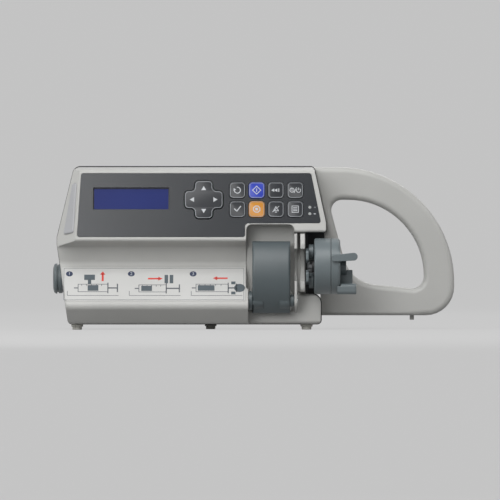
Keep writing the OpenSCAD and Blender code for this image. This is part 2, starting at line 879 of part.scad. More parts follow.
module case_screws() {
    color([0.70, 0.70, 0.72])
    {
        for (site = screw_sites) {
            bar_y(-front_boss + 2, rear_y - screw_head_t - 1 + skin, site[0], site[1], case_screw_r);
            bar_y(rear_y - screw_head_t - 1, rear_y - 1, site[0], site[1], screw_head_r);
        }
        for (z = handle_screw_zs) {
            bar_x(end_x - wall - skin, end_x + 7, handle_y + handle_t / 2, z, case_screw_r);
            bar_x(end_x - wall - screw_head_t, end_x - wall, handle_y + handle_t / 2, z, screw_head_r);
        }
    }
}

// Frame of the screw drive: two end plates on a floor plate
module drive_chassis() {
    color([0.66, 0.68, 0.70])
    difference() {
        union() {
            for (x = [plate_left_x, plate_right_x])
                span([x, tube_y - arm_r, base_z + wall + 4],
                    [x + plate_t, screw_y + 9, carriage_top_z + 2]);
            span([plate_left_x, screw_y - motor_side / 2, carriage_top_z],
                [plate_left_x + plate_t, screw_y + motor_side / 2, motor_z + motor_side / 2]);
            span([plate_left_x, tube_y - arm_r, base_z + wall],
                [plate_right_x + plate_t, screw_y + 9, base_z + wall + 4 + skin]);
        }
        for (x = [plate_left_x, plate_right_x]) {
            bar_x(x - 1, x + plate_t + 1, screw_y, drum_z, bearing_r + set_gap);
            bar_x(x - 1, x + plate_t + 1, screw_y, rod_z, rod_r + run_gap);
        }
        bar_x(plate_right_x - 1, end_x, tube_y, drum_z, tube_r + move_gap);
        bar_x(plate_left_x - 1, plate_left_x + plate_t + 1, screw_y, motor_z, motor_shaft_r + 3);
    }
}

module screw_bearings() {
    color([0.60, 0.61, 0.63])
    for (x = [plate_left_x, plate_right_x])
        difference() {
            bar_x(x, x + plate_t, screw_y, drum_z, bearing_r);
            bar_x(x - 1, x + plate_t + 1, screw_y, drum_z, screw_r - 1 + run_gap);
        }
}

module guide_rod() {
    color([0.80, 0.81, 0.83])
    bar_x(plate_left_x, plate_right_x + plate_t, screw_y, rod_z, rod_r);
}

// Dark shield in the side recess, with the drive tube's bush
module side_shield() {
    color([0.09, 0.09, 0.10])
    difference() {
        union() {
            span([end_x, -cradle_y + 1, block_z + 0.2], [end_x + shield_t, -shield_back_t, hood_z - 0.2]);
            span([end_x, -shield_back_t - skin, block_z + 0.2],
                [end_x + hood_reach - 1, 0, hood_z - 0.2]);
            bar_x(end_x - wall - 2, end_x, tube_y, drum_z, bush_r);
        }
        bar_x(end_x - wall - 3, end_x + shield_t + 1, tube_y, drum_z, tube_r + run_gap);
    }
}

module stepper_motor() {
    color([0.30, 0.30, 0.32])
    difference() {
        translate([plate_left_x + plate_t, screw_y, motor_z])
            rotate([90, 0, 90])
                plate(box_corners(motor_side, motor_side, 3), 0, motor_len);
        bar_x(plate_left_x, plate_left_x + plate_t + motor_len - 4, screw_y, motor_z,
            motor_shaft_r + run_gap);
    }
}

// Racetrack outline round both pulleys, as [y, z]
module belt_loop(r) {
    translate([screw_y, drum_z])
        circle(r = r);
    translate([screw_y, motor_z])
        circle(r = r);
    translate([screw_y - r, drum_z])
        square([2 * r, motor_z - drum_z]);
}

module drive_belt() {
    color([0.08, 0.08, 0.08])
    along_x(pulley_x, pulley_x + belt_w)
        difference() {
            belt_loop(pulley_r + move_gap + belt_t);
            belt_loop(pulley_r + move_gap);
        }
}

// Holder of the barrel's flange: the cradle's end wall with the hinge lug, a slot and a plate
module flange_plate() {
    color([0.50, 0.52, 0.53])
    difference() {
        union() {
            along_x(cradle_end_x + set_gap, cradle_end_x + cradle_end_t)
                polygon(outline([
                    [-block_y - set_gap, block_z - 16, 2], [-block_y - set_gap, block_z + set_gap, 0],
                    [-cradle_y - set_gap, block_z + set_gap, 2], [-cradle_y - set_gap, hood_z - 1.2, 0],
                    [hood_lip_y + 1, hood_z - 1.2, 0],
                    [-nose_y + 8, block_z + 4, 6], [-nose_y + 8, block_z - 10, 6]
                ]));
            along_x(cradle_end_x + cradle_end_t - skin, end_x - 0.5 - flange_plate_t + skin)
                polygon([
                    [-cradle_y - set_gap - holder_web, block_z + 2], [-cradle_y - set_gap, block_z + 2],
                    [-cradle_y - set_gap, hood_z - 1.2], [-cradle_y - set_gap - holder_web, hood_z - 1.2]
                ]);
            along_x(end_x - 0.5 - flange_plate_t, end_x - 0.5)
                polygon(outline([
                    [-nose_y + 10, block_z + 1.8, 4], [-cradle_y - set_gap, block_z + 1.8, 0],
                    [-cradle_y - set_gap, hood_z - 1.2, 0], [hood_lip_y, hood_z - 1.2, 3],
                    [-nose_y + 10, hood_z - 10, 4]
                ]));
        }
        along_x(cradle_end_x, end_x)
            barrel_notch();
        bar_x(cradle_end_x, end_x, hinge_y, hinge_z, hinge_pin_r + run_gap);
    }
}

module clamp_hinge_pin() {
    color([0.75, 0.76, 0.78])
    bar_x(bulge_x - wall - hinge_end + 1, cradle_end_x + cradle_end_t + 0.5, hinge_y, hinge_z, hinge_pin_r);
}

// Torsion spring on the pin between the clamp's knuckles
module clamp_spring() {
    color([0.70, 0.71, 0.73])
    difference() {
        bar_x(clamp_x + knuckle_w + 2, clamp_x + clamp_w - knuckle_w - 2, hinge_y, hinge_z, hinge_pin_r + 2);
        bar_x(clamp_x, clamp_x + clamp_w, hinge_y, hinge_z, hinge_pin_r + run_gap);
    }
}

// Bracket on the rear shell with a threaded lug and a fixed jaw
module pole_clamp_body() {
    color([0.55, 0.56, 0.58])
    difference() {
        union() {
            span([lug_x, rear_y, jaw_low_z], [jaw_end_x, rear_y + plate_clamp_t, jaw_low_z + jaw_h]);
            span([lug_x, rear_y, spindle_z - 9], [lug_x + lug_t, spindle_y + 9, spindle_z + 9]);
            span([jaw_x, rear_y, jaw_low_z], [jaw_end_x, jaw_back_y, jaw_low_z + jaw_h]);
        }
        bar_x(lug_x - 1, lug_x + lug_t + 1, spindle_y, spindle_z, spindle_r + run_gap);
        translate([pole_x, spindle_y, jaw_low_z - 1])
            cylinder(h = jaw_h + 2, r = pole_r);
        for (x = clamp_screw_xs)
            bar_y(rear_y - 1, rear_y + plate_clamp_t + 1, x, spindle_z, clamp_screw_r + run_gap);
        for (x = clamp_screw_xs)
            bar_y(rear_y + plate_clamp_t - clamp_head_t, rear_y + plate_clamp_t + 1, x, spindle_z,
                2 * clamp_screw_r + set_gap);
    }
}

module pole_clamp_screws() {
    color([0.75, 0.76, 0.78])
    for (x = clamp_screw_xs) {
        bar_y(rear_y - clamp_screw_sink, rear_y + plate_clamp_t - skin, x, spindle_z, clamp_screw_r);
        bar_y(rear_y + plate_clamp_t - clamp_head_t, rear_y + plate_clamp_t, x, spindle_z, 2 * clamp_screw_r);
    }
}

// Block that carries the drive tube and the half nut along the guide rod
module carriage() {
    color([0.62, 0.64, 0.66])
    difference() {
        span([carriage_x, tube_y - tube_r - 3, carriage_low_z],
            [carriage_x + carriage_len, screw_y + nut_half + 3, carriage_top_z]);
        bar_x(carriage_x + 4, carriage_x + carriage_len + 1, tube_y, drum_z, tube_r + run_gap);
        bar_x(carriage_x - 1, carriage_x + carriage_len + 1, screw_y, rod_z, rod_r + run_gap);
        span([carriage_x + 3, screw_y - nut_half - move_gap, nut_low_z - nut_drop - 1],
            [carriage_x + carriage_len - 3, screw_y + nut_half + move_gap, carriage_top_z + 1]);
        span([carriage_x - 1, screw_y - screw_r - 1, drum_z - screw_r - 1],
            [carriage_x + carriage_len + 1, screw_y + screw_r + 1, carriage_top_z + 1]);
    }
}

module drive_tube() {
    color([0.78, 0.79, 0.80])
    difference() {
        bar_x(carriage_x + 4, cap_x - 4, tube_y, drum_z, tube_r);
        bar_x(carriage_x + 3, cap_x, tube_y, drum_z, tube_bore_r);
    }
}

// Round head with the arm that joins it to the drive tube
module driver_housing() {
    color([0.55, 0.58, 0.59])
    difference() {
        union() {
            bar_x(drum_x, cap_x, -drum_y, drum_z, drum_r);
            bar_x(drum_x + 1, cap_x - 1, tube_y, drum_z, arm_r);
            span([drum_x + 1, -drum_y, drum_z - arm_r], [cap_x - 1, tube_y, drum_z + arm_r]);
        }
        bar_x(drum_x, cap_x - 4, tube_y, drum_z, tube_r + run_gap);
        bar_x(drum_x - 1, drum_x + 4, -drum_y, drum_z, button_r + move_gap);
        for (side = [-1, 1])
            bar_x(drum_x - 1, drum_x + 8, claw_y, drum_z + side * claw_rise, claw_pin_r + run_gap);
    }
}

module claw(side) {
    z = drum_z + side * claw_rise;
    bar_x(drum_x - claw_gap, drum_x + 7, claw_y, z, claw_pin_r);
    bar_x(drum_x - claw_gap, drum_x - move_gap, claw_y, z, claw_boss_r);
    along_x(drum_x - claw_gap - claw_t, drum_x - claw_gap + skin)
        polygon(outline([
            for (p = [[4, 4, 2], [-20, 1, 2], [-21, -7, 2], [-13, -9, 2], [1, -5, 2]])
                [claw_y + p[0], z + side * p[1], p[2]]
        ]));
}

module upper_claw() {
    color([0.62, 0.64, 0.65])
    claw(1);
}

module lower_claw() {
    color([0.62, 0.64, 0.65])
    claw(-1);
}

module plunger_button() {
    color([0.20, 0.20, 0.21])
    bar_x(drum_x - 2, drum_x + 2, -drum_y, drum_z, button_r);
}

// Ring behind the driver that turns as the clutch, with its hub and the front wing
module driver_cap() {
    color([0.60, 0.63, 0.64])
    {
        bar_x(cap_x + move_gap, tip_x, -drum_y, drum_z, drum_r);
        bar_x(tip_x - skin, tip_x + clutch_hub_len, -drum_y, drum_z, clutch_hub_r);
        along_y(-drum_y - drum_r - wing_proud, -drum_y)
            polygon(outline([
                for (p = [[wing_x, -wing_root_t, wing_root_rise], [wing_end_x, -wing_t, wing_rise],
                    [wing_end_x, wing_t, wing_rise], [wing_x, wing_root_t, wing_root_rise]])
                    [p[0], drum_z + p[2] + p[1] / 2, abs(p[1]) / 2 - 0.2]
            ]));
    }
}

// Lower wing of the clutch: a web under the hub that ends in a finger pad
module clutch_lever() {
    color([0.58, 0.61, 0.62])
    difference() {
        union() {
            span([tip_x, -drum_y - web_t / 2, drum_z - grip_drop],
                [tip_x + wing_len - 4, -drum_y + web_t / 2, drum_z - 3]);
            along_x(tip_x - grip_lap, tip_x + wing_len - 1)
                translate([-drum_y - grip_forward, drum_z - grip_drop])
                    polygon(outline(box_corners(grip_depth, grip_t, 3)));
        }
        bar_x(tip_x - 1, tip_x + clutch_hub_len + set_gap, -drum_y, drum_z, clutch_hub_r + set_gap);
        bar_x(cap_x, tip_x + skin, -drum_y, drum_z, drum_r + set_gap);
    }
}

module release_shaft() {
    color([0.74, 0.75, 0.76])
    bar_x(carriage_x + 5, cap_x - 5, tube_y, drum_z, shaft_r);
}

module half_nut() {
    color([0.72, 0.60, 0.35])
    difference() {
        span([carriage_x + 3 + move_gap, screw_y - nut_half, nut_low_z],
            [carriage_x + carriage_len - 3 - move_gap, screw_y + nut_half, drum_z]);
        bar_x(carriage_x, carriage_x + carriage_len, screw_y, drum_z, screw_r + move_gap);
    }
}

module lead_screw() {
    color([0.72, 0.73, 0.75])
    {
        bar_x(plate_left_x + plate_t + 0.4, plate_right_x - 0.4, screw_y, drum_z, screw_r);
        bar_x(pulley_x + belt_w, plate_right_x + plate_t, screw_y, drum_z, screw_r - 1);
    }
}

// Pulley with side flanges, on the given height
module pulley(z, hub_r) {
    bar_x(pulley_x, pulley_x + belt_w, screw_y, z, pulley_r);
    bar_x(pulley_x - 1, pulley_x - 0.4, screw_y, z, pulley_r + belt_t + 1);
    bar_x(pulley_x - 0.5, pulley_x + skin, screw_y, z, pulley_r);
    bar_x(pulley_x + belt_w - skin, pulley_x + belt_w + 2, screw_y, z, hub_r);
}

module screw_pulley() {
    color([0.70, 0.71, 0.73])
    difference() {
        pulley(drum_z, screw_r + 2);
        bar_x(pulley_x + belt_w, pulley_x + belt_w + 3, screw_y, drum_z, screw_r - 1 + run_gap);
    }
}

module motor_pulley() {
    color([0.70, 0.71, 0.73])
    {
        pulley(motor_z, motor_shaft_r + 2);
        bar_x(pulley_x + belt_w, plate_left_x + plate_t + motor_len - 5, screw_y, motor_z, motor_shaft_r);
    }
}

// Part of a ring between two heights, in front of the clamp's centre, as [y, z]
module clamp_ring(r0, r1, low, high) {
    intersection() {
        translate([clamp_cy, clamp_cz])
            difference() {
                circle(r = r1);
                circle(r = r0);
            }
        translate([clamp_cy - 2 * clamp_r, low])
            square([2 * clamp_r, high - low]);
    }
}

module barrel_clamp() {
    color([0.45, 0.49, 0.50])
    difference() {
        union() {
            along_x(clamp_x, clamp_x + clamp_w)
                difference() {
                    clamp_ring(clamp_r - clamp_t, clamp_r, clamp_low_z, clamp_high_z);
                    // The tail below the pin is trimmed to turn inside its pocket
                    difference() {
                        translate([hinge_y - clamp_r, clamp_low_z - 1])
                            square([2 * clamp_r, hinge_z - clamp_low_z + 1]);
                        translate([hinge_y, hinge_z])
                            circle(r = hinge_pocket_r - 1);
                    }
                }
            bar_x(clamp_x, clamp_x + knuckle_w, hinge_y, hinge_z, hinge_boss_r);
            bar_x(clamp_x + clamp_w - knuckle_w, clamp_x + clamp_w, hinge_y, hinge_z, hinge_boss_r);
        }
        bar_x(clamp_x - 1, clamp_x + clamp_w + 1, hinge_y, hinge_z, hinge_pin_r + run_gap);
        bar_x(clamp_x + knuckle_w, clamp_x + clamp_w - knuckle_w, hinge_y, hinge_z,
            hinge_pin_r + 2 + move_gap);
    }
}

module clamp_liner() {
    color([0.20, 0.20, 0.20])
    along_x(clamp_x + 3, clamp_x + clamp_w - 3)
        clamp_ring(clamp_r - clamp_t - 1.5, clamp_r - clamp_t, clamp_cz - 6, clamp_cz + 24);
}

module arrow_pivot() {
    color([0.30, 0.30, 0.32])
    on_panel(pad_u, pad_v, board_w + move_gap)
        cylinder(h = -pad_depth - move_gap - board_w - move_gap, r = pivot_r);
}

module arrow_pad() {
    color([0.26, 0.27, 0.29])
    on_panel(pad_u, pad_v)
        arrow_cross(0, -pad_depth, pad_proud);
}

module key(column, row) {
    at_key(column, row) {
        plate(box_corners(key_w, key_h, key_round), key_base_w + skin, key_proud);
        plate(box_corners(key_w + 2 * key_flange, key_h + 2 * key_flange, 1),
            key_base_w, key_base_w + key_flange);
        translate([0, 0, key_base_w - key_stem])
            cylinder(h = key_stem + skin, r = 2);
    }
}

module key_back() { color([0.25, 0.26, 0.28]) key(0, 0); }
module key_start() { color([0.20, 0.28, 0.65]) key(1, 0); }
module key_fast() { color([0.25, 0.26, 0.28]) key(2, 0); }
module key_power() { color([0.25, 0.26, 0.28]) key(3, 0); }
module key_ok() { color([0.25, 0.26, 0.28]) key(0, 1); }
module key_stop() { color([0.78, 0.50, 0.15]) key(1, 1); }
module key_mute() { color([0.25, 0.26, 0.28]) key(2, 1); }
module key_menu() { color([0.25, 0.26, 0.28]) key(3, 1); }

module pole_pad() {
    color([0.15, 0.15, 0.16])
    difference() {
        span([pad_x, spindle_y - 11, spindle_z - 12], [pad_x + pad_t, spindle_y + 11, spindle_z + 12]);
        bar_x(pad_x - 1, pad_x + 4, spindle_y, spindle_z, spindle_r + run_gap);
    }
}

module clamp_spindle() {
    color([0.74, 0.75, 0.77])
    bar_x(knob_x + 4, pad_x + 4 - move_gap, spindle_y, spindle_z, spindle_r);
}

// Knob: a domed rim, a groove, an inner ring and a hub
module clamp_knob() {
    color([0.42, 0.44, 0.45])
    translate([knob_x, spindle_y, spindle_z])
        rotate([0, 90, 0])
            difference() {
                union() {
                    rotate_extrude()
                        polygon([
                            [0, 0], [knob_r - 4, 0], [knob_r - 1, 1], [knob_r, 2.6], [knob_r, 3.4],
                            [knob_r - 1.4, 3.6], [knob_r - 1.4, 4.6], [knob_r - 0.4, 4.8],
                            [knob_r - 0.4, knob_len - 1], [knob_r - 1.4, knob_len], [0, knob_len]
                        ]);
                    cylinder(h = knob_len + knob_hub, r = spindle_r + 3);
                }
                translate([0, 0, 4])
                    cylinder(h = far, r = spindle_r + run_gap);
            }
}

front_shell();
rear_shell();
case_gasket();
carry_handle();
handle_peg();
panel_overlay();
lcd_window();
lcd_module();
keypad_board();
main_board();
power_board();
battery_pack();
battery_cover();
speaker();
power_inlet();
data_port();
alarm_lens();
status_lamps();
loading_label();
rubber_feet();
case_screws();
drive_chassis();
screw_bearings();
guide_rod();
side_shield();
stepper_motor();
drive_belt();
flange_plate();
clamp_hinge_pin();
clamp_spring();
pole_clamp_body();
pole_clamp_screws();
carriage();
drive_tube();
driver_housing();
driver_cap();
clutch_lever();
release_shaft();
half_nut();
upper_claw();
lower_claw();
plunger_button();
lead_screw();
screw_pulley();
motor_pulley();
barrel_clamp();
clamp_liner();
arrow_pivot();
arrow_pad();
key_back();
key_start();
key_fast();
key_power();
key_ok();
key_stop();
key_mute();
key_menu();
pole_pad();
clamp_spindle();
clamp_knob();
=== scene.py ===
import json
import math

import bmesh
import bpy
from mathutils import Matrix, Vector
from mathutils.bvhtree import BVHTree

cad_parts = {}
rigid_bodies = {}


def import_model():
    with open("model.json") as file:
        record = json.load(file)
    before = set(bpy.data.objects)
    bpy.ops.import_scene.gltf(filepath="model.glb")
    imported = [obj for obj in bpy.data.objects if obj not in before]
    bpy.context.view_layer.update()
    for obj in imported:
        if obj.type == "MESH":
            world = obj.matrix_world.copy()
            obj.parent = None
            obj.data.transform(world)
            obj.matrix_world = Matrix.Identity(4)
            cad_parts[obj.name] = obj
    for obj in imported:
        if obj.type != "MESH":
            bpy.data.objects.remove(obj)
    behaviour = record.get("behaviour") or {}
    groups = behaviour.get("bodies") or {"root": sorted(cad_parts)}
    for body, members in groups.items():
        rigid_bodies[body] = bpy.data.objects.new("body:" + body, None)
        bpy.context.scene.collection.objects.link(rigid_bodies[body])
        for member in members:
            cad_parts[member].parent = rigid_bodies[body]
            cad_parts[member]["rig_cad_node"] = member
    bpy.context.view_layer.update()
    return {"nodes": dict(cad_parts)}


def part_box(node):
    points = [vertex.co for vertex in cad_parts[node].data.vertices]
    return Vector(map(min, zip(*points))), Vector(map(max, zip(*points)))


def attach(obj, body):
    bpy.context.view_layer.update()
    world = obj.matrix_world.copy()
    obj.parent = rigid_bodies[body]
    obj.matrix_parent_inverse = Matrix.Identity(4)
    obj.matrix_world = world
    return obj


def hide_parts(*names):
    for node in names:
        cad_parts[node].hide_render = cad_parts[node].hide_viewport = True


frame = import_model()


# Viewpoint: a product picture taken straight on from far away, at about the height of the
# case's middle, with a very long lens that keeps the sides parallel.
camera_place = (-0.0027, -8, 0.067)
camera_lens = 682
camera_sensor = 36
bpy.ops.object.select_all(action="DESELECT")
bpy.ops.object.camera_add(location=camera_place, rotation=(math.pi / 2, 0, 0))
viewpoint = bpy.context.active_object
viewpoint.name = "viewpoint"
viewpoint.data.sensor_width = camera_sensor
viewpoint.data.lens = camera_lens
bpy.context.scene.camera = viewpoint


# Front shell: the front half of the case, one injection moulding in warm grey ABS with a
# fine matt skin. The mould rounds its outer edges, and screws from behind hold it.
mm = 0.001
case_colours = ("#B3B3B0", "#B8B8B5")
shell_round = 1.8 * mm
recess_round = 0.35 * mm


def linear(colour):
    """An sRGB hex value as the linear colour that a shader takes."""
    parts = [int(colour[i:i + 2], 16) / 255 for i in (1, 3, 5)]
    return [p / 12.92 if p <= 0.04045 else ((p + 0.055) / 1.055) ** 2.4 for p in parts] + [1]


def add_node(material, kind, settings=None, values=None, links=None, ramp=()):
    """Adds one node with its settings, socket values, links and colour stops."""
    node = material.node_tree.nodes.new("ShaderNode" + kind)
    for name, value in (settings or {}).items():
        setattr(node, name, value)
    for name, value in (values or {}).items():
        node.inputs[name].default_value = value
    for name, output in (links or {}).items():
        material.node_tree.links.new(output, node.inputs[name])
    for stop, (place, colour) in zip(node.color_ramp.elements if ramp else (), ramp):
        stop.position = place
        stop.color = linear(colour)
    return node


def new_finish(name, roughness, **sockets):
    """A material with the sockets that stay the same all over, and its Object coordinates."""
    material = bpy.data.materials.new(name)
    material.use_nodes = True
    shader = material.node_tree.nodes["Principled BSDF"]
    shader.inputs["Roughness"].default_value = roughness
    for socket, value in sockets.items():
        shader.inputs[socket.replace("_", " ")].default_value = value
    return material, shader, add_node(material, "TexCoord").outputs["Object"]


def moulded(name, colours, roughness, grain, relief, cloud=38, soft=0.3, **sockets):
    """A moulded plastic, rubber, film or ink: nearly even colour with a faint cloudiness, and
    the grain that its mould or emboss leaves, which breaks up the reflections. grain, relief
    and cloud are sizes in mm, and soft is how far the light runs round an edge, in mm. Most
    real grains are finer, and are drawn as coarse as they need to show in the render."""
    shine_spread = 0.06
    grain_strength = 0.35
    material, shader, place = new_finish(name, roughness, **sockets)
    link = material.node_tree.links.new
    clouds = add_node(material, "TexNoise", values={"Scale": 1 / (cloud * mm), "Detail": 4},
        links={"Vector": place})
    tone = add_node(material, "ValToRGB", links={"Fac": clouds.outputs["Fac"]},
        ramp=((0.3, colours[0]), (0.7, colours[1])))
    skin = add_node(material, "TexNoise", values={"Scale": 1 / (grain * mm), "Detail": 2},
        links={"Vector": place})
    matt = add_node(material, "MapRange", links={"Value": skin.outputs["Fac"]},
        values={"To Min": roughness - shine_spread, "To Max": roughness + shine_spread})
    edges = add_node(material, "Bevel", settings={"samples": 6}, values={"Radius": soft * mm})
    bump = add_node(material, "Bump", values={"Strength": grain_strength, "Distance": relief * mm},
        links={"Height": skin.outputs["Fac"], "Normal": edges.outputs["Normal"]})
    link(tone.outputs["Color"], shader.inputs["Base Color"])
    link(matt.outputs["Result"], shader.inputs["Roughness"])
    link(bump.outputs["Normal"], shader.inputs["Normal"])
    return material


def alone(piece):
    """Makes this piece the only selected one."""
    bpy.ops.object.select_all(action="DESELECT")
    piece.select_set(True)
    bpy.context.view_layer.objects.active = piece


def copy_of(node, name, flat=1):
    """A copy of a CAD solid as one clean mesh, to be finished. Faces that turn by less
    than flat degrees become one."""
    same_corner = 0.002 * mm
    alone(frame["nodes"][node])
    bpy.ops.object.duplicate()
    piece = bpy.context.active_object
    piece.name = piece.data.name = name
    del piece["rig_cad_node"]
    piece.data.materials.clear()
    bpy.ops.object.mode_set(mode="EDIT")
    bpy.ops.mesh.select_all(action="SELECT")
    bpy.ops.mesh.remove_doubles(threshold=same_corner)
    bpy.ops.mesh.dissolve_limited(angle_limit=math.radians(flat))
    bpy.ops.object.mode_set(mode="OBJECT")
    return piece


def room_across(loop):
    """How far a face reaches away from one of its edges, measured from the edge's middle."""
    start, end = loop.vert.co, loop.link_loop_next.vert.co
    along = (end - start).normalized()
    across = loop.face.normal.cross(along)
    middle = (start + end) / 2
    reach = 1.0
    for other in loop.face.loops:
        if other is loop:
            continue
        p, q = other.vert.co - middle, other.link_loop_next.vert.co - middle
        px, qx = p.dot(along), q.dot(along)
        if px * qx <= 0 and px != qx:
            height = p.dot(across) + (q - p).dot(across) * px / (px - qx)
            if height > 1e-7:
                reach = min(reach, height)
    return reach


def room_at_ends(loop, chosen):
    """The widest rounding that an edge's neighbours in a face leave room for."""
    sharp_share = 0.8
    round_share = 0.9
    limit, turn = 1.0, 0.0
    following = loop.link_loop_next
    for corner, neighbour in ((loop, loop.link_loop_prev.edge), (following, following.edge)):
        angle = corner.calc_angle()
        if neighbour not in chosen:
            limit = min(limit, sharp_share * neighbour.calc_length() * math.sin(angle))
        elif corner.is_convex:
            turn += math.tan((math.pi - angle) / 2)
    return min(limit, round_share * loop.edge.calc_length() / turn) if turn > 1e-6 else limit


def strays(piece, solid, reach):
    """The corners that a rounding threw out of its solid or far into it, with their neighbours,
    and those where it folded a face over."""
    proud_limit = 0.3 * mm
    fold_limit = math.radians(150)
    form = bmesh.new()
    form.from_object(piece, bpy.context.evaluated_depsgraph_get())
    form.normal_update()
    lost = set()
    for vert in form.verts:
        near, normal, _, gap = solid.find_nearest(vert.co)
        if gap > reach or (vert.co - near).dot(normal) > proud_limit:
            lost.add(vert)
    places = [vert.co.copy() for edge in form.edges
        if lost.intersection(edge.verts) or edge.calc_face_angle(0) > fold_limit
        for vert in edge.verts]
    form.free()
    return places


def rounded(piece, width, share=None, segments=3, sharp=28, least=0.1 * mm):
    """Rounds a moulding's convex edges, each no wider than its faces leave room for. share
    gives an edge's part of the width from its middle and the way it faces. Edges at a corner
    that comes out wrong stay sharp."""
    face_share = 0.45
    settling_rounds = 6
    repair_rounds = 5
    stray_depth = width + 0.3 * mm
    repair_reach = 0.6 * width
    smooth_limit = math.radians(35)
    form = bmesh.new()
    form.from_mesh(piece.data)
    form.normal_update()
    solid = BVHTree.FromBMesh(form)
    chosen = {}
    for edge in form.edges:
        if len(edge.link_faces) != 2 or edge.calc_face_angle_signed() < math.radians(sharp):
            continue
        middle = (edge.verts[0].co + edge.verts[1].co) / 2
        facing = (edge.link_faces[0].normal + edge.link_faces[1].normal).normalized()
        size = width * (share(middle, facing) if share else 1)
        if size > 0:
            rooms = [face_share * room_across(loop) for loop in edge.link_loops]
            chosen[edge] = min([size] + rooms)
    for _ in range(settling_rounds):
        sizes = {edge: min([size] + [room_at_ends(loop, chosen) for loop in edge.link_loops])
            for edge, size in chosen.items()}
        chosen = {edge: size for edge, size in chosen.items() if sizes[edge] > least}
    plan = {edge.index: [sizes[edge]] + [vert.co.copy() for vert in edge.verts] for edge in chosen}
    form.free()
    alone(piece)
    weights = piece.data.attributes.new("bevel_weight_edge", "FLOAT", "EDGE")
    bevel = piece.modifiers.new("rounded edges", "BEVEL")
    bevel.limit_method = "WEIGHT"
    bevel.width = width
    bevel.segments = segments
    bevel.use_clamp_overlap = False
    for _ in range(repair_rounds):
        for index, edge in plan.items():
            weights.data[index].value = edge[0] / width
        piece.data.update()
        places = strays(piece, solid, stray_depth)
        if not places:
            break
        for edge in plan.values():
            if any(min((end - place).length for end in edge[1:]) < repair_reach for place in places):
                edge[0] = 0
    bpy.ops.object.modifier_apply(modifier=bevel.name)
    bpy.ops.object.shade_smooth_by_angle(angle=smooth_limit)
    flat_faces = piece.modifiers.new("even shading", "WEIGHTED_NORMAL")
    flat_faces.keep_sharp = True
    bpy.ops.object.modifier_apply(modifier=flat_faces.name)
    return piece


def fit(piece, body, slot, material, *nodes):
    """Gives a finished piece its material and its body, and hides the CAD solids that it stands for."""
    if material:
        piece.data.materials.clear()
        piece.data.materials.append(material)
    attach(piece, body)
    if nodes:
        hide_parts(*nodes)


def outer_face(node):
    """Where a thin flat node faces: its outward normal and the level of its outer face."""
    mesh = frame["nodes"][node].data
    fronts = [f for f in mesh.polygons if f.normal.y < -0.1]
    normal = max(fronts, key=lambda f: f.area).normal.copy()
    return normal, max(v.co.dot(normal) for v in mesh.vertices)


panel_out, panel_level = outer_face("panel_overlay")
panel_low, panel_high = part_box("panel_overlay")
panel_margin = 1 * mm
recess_rim = 1.2 * mm
recess_depth = 9 * mm
ray_start = 0.05 * mm
ray_length = 0.5
corner_share = 0.2
joint_facing = 0.35
shell_mesh = frame["nodes"]["front_shell"].data
shell_tree = BVHTree.FromPolygons(
    [v.co.copy() for v in shell_mesh.vertices], [list(f.vertices) for f in shell_mesh.polygons])


def front_share(middle, facing):
    """Full rounding outside, a small one round the panel's recess and where the shell faces
    itself, none in the recess or at the joint with the rear shell."""
    height = middle.dot(panel_out) - panel_level
    on_panel = panel_low.x - panel_margin < middle.x < panel_high.x + panel_margin
    if on_panel and abs(height) < recess_rim and middle.z > panel_low.z - panel_margin:
        return recess_round / shell_round
    if facing.y > joint_facing or (on_panel and -recess_depth < height < 0):
        return 0
    if shell_tree.ray_cast(middle + facing * ray_start, facing, ray_length)[0] is not None:
        return corner_share
    return 1


# ABS from a spark-eroded mould: a matt, slightly soft sheen. Its grain is about 0.2 mm and is
# drawn at 0.9 mm, because the render couldn't show it finer.
case_plastic = moulded("moulded_grey_ABS", case_colours, roughness=0.46, grain=0.9, relief=0.02, soft=1.2)
front_shell = rounded(copy_of("front_shell", "front_case_shell", flat=3), shell_round, front_share)
fit(front_shell, "case", "case_plastic", case_plastic, "front_shell")


# Rear shell: the other half of the case, moulded in the same ABS and closed against the front
# shell, with the battery bay, sockets, speaker holes and pole clamp on its back.
rear_low, rear_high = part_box("rear_shell")
back_band = 0.6 * mm
rim_band = 3 * mm
inside_share = 0.15


def rear_share(middle, facing):
    """Full rounding round the outside, a small one at its openings, little inside, and none at
    the joint with the front shell."""
    if facing.y < -joint_facing:
        return 0
    back = rear_high.y - middle.y < back_band
    edge_on = (middle.x - rear_low.x < rim_band or rear_high.x - middle.x < rim_band
        or middle.z - rear_low.z < rim_band or rear_high.z - middle.z < rim_band)
    if back and not edge_on:
        return recess_round / shell_round
    return 1 if back or edge_on else inside_share


rear_shell = rounded(copy_of("rear_shell", "rear_case_shell"), shell_round, rear_share)
fit(rear_shell, "case", "case_plastic", case_plastic, "rear_shell")


# Case seal: an extruded bead of black silicone rubber, squeezed between the two shells and
# seen as a thin dark line round the case.

# Silicone is dull and nearly black. Its skin is smooth, and its grain is drawn coarse to show.
seal_rubber = moulded("extruded_silicone", ("#2E2E2F", "#363637"), roughness=0.7, grain=0.6, relief=0.015)


def dress(node, material):
    """Gives a CAD solid whose shape is right its finish."""
    solid = frame["nodes"][node]
    solid.data.materials.clear()
    solid.data.materials.append(material)


dress("case_gasket", seal_rubber)


# Feet: four stepped buttons of grey thermoplastic rubber, moulded with rounded rims and stuck
# to the underside of the case.
foot_round = 0.5 * mm
# Thermoplastic rubber has little sheen, and is as pale as the case.
foot_rubber = moulded("grey_thermoplastic_rubber", ("#B4B3AC", "#BCBBB4"),
    roughness=0.62, grain=0.7, relief=0.02)
feet = rounded(copy_of("rubber_feet", "stepped_feet"), foot_round)
fit(feet, "case", "foot_rubber", foot_rubber, "rubber_feet")


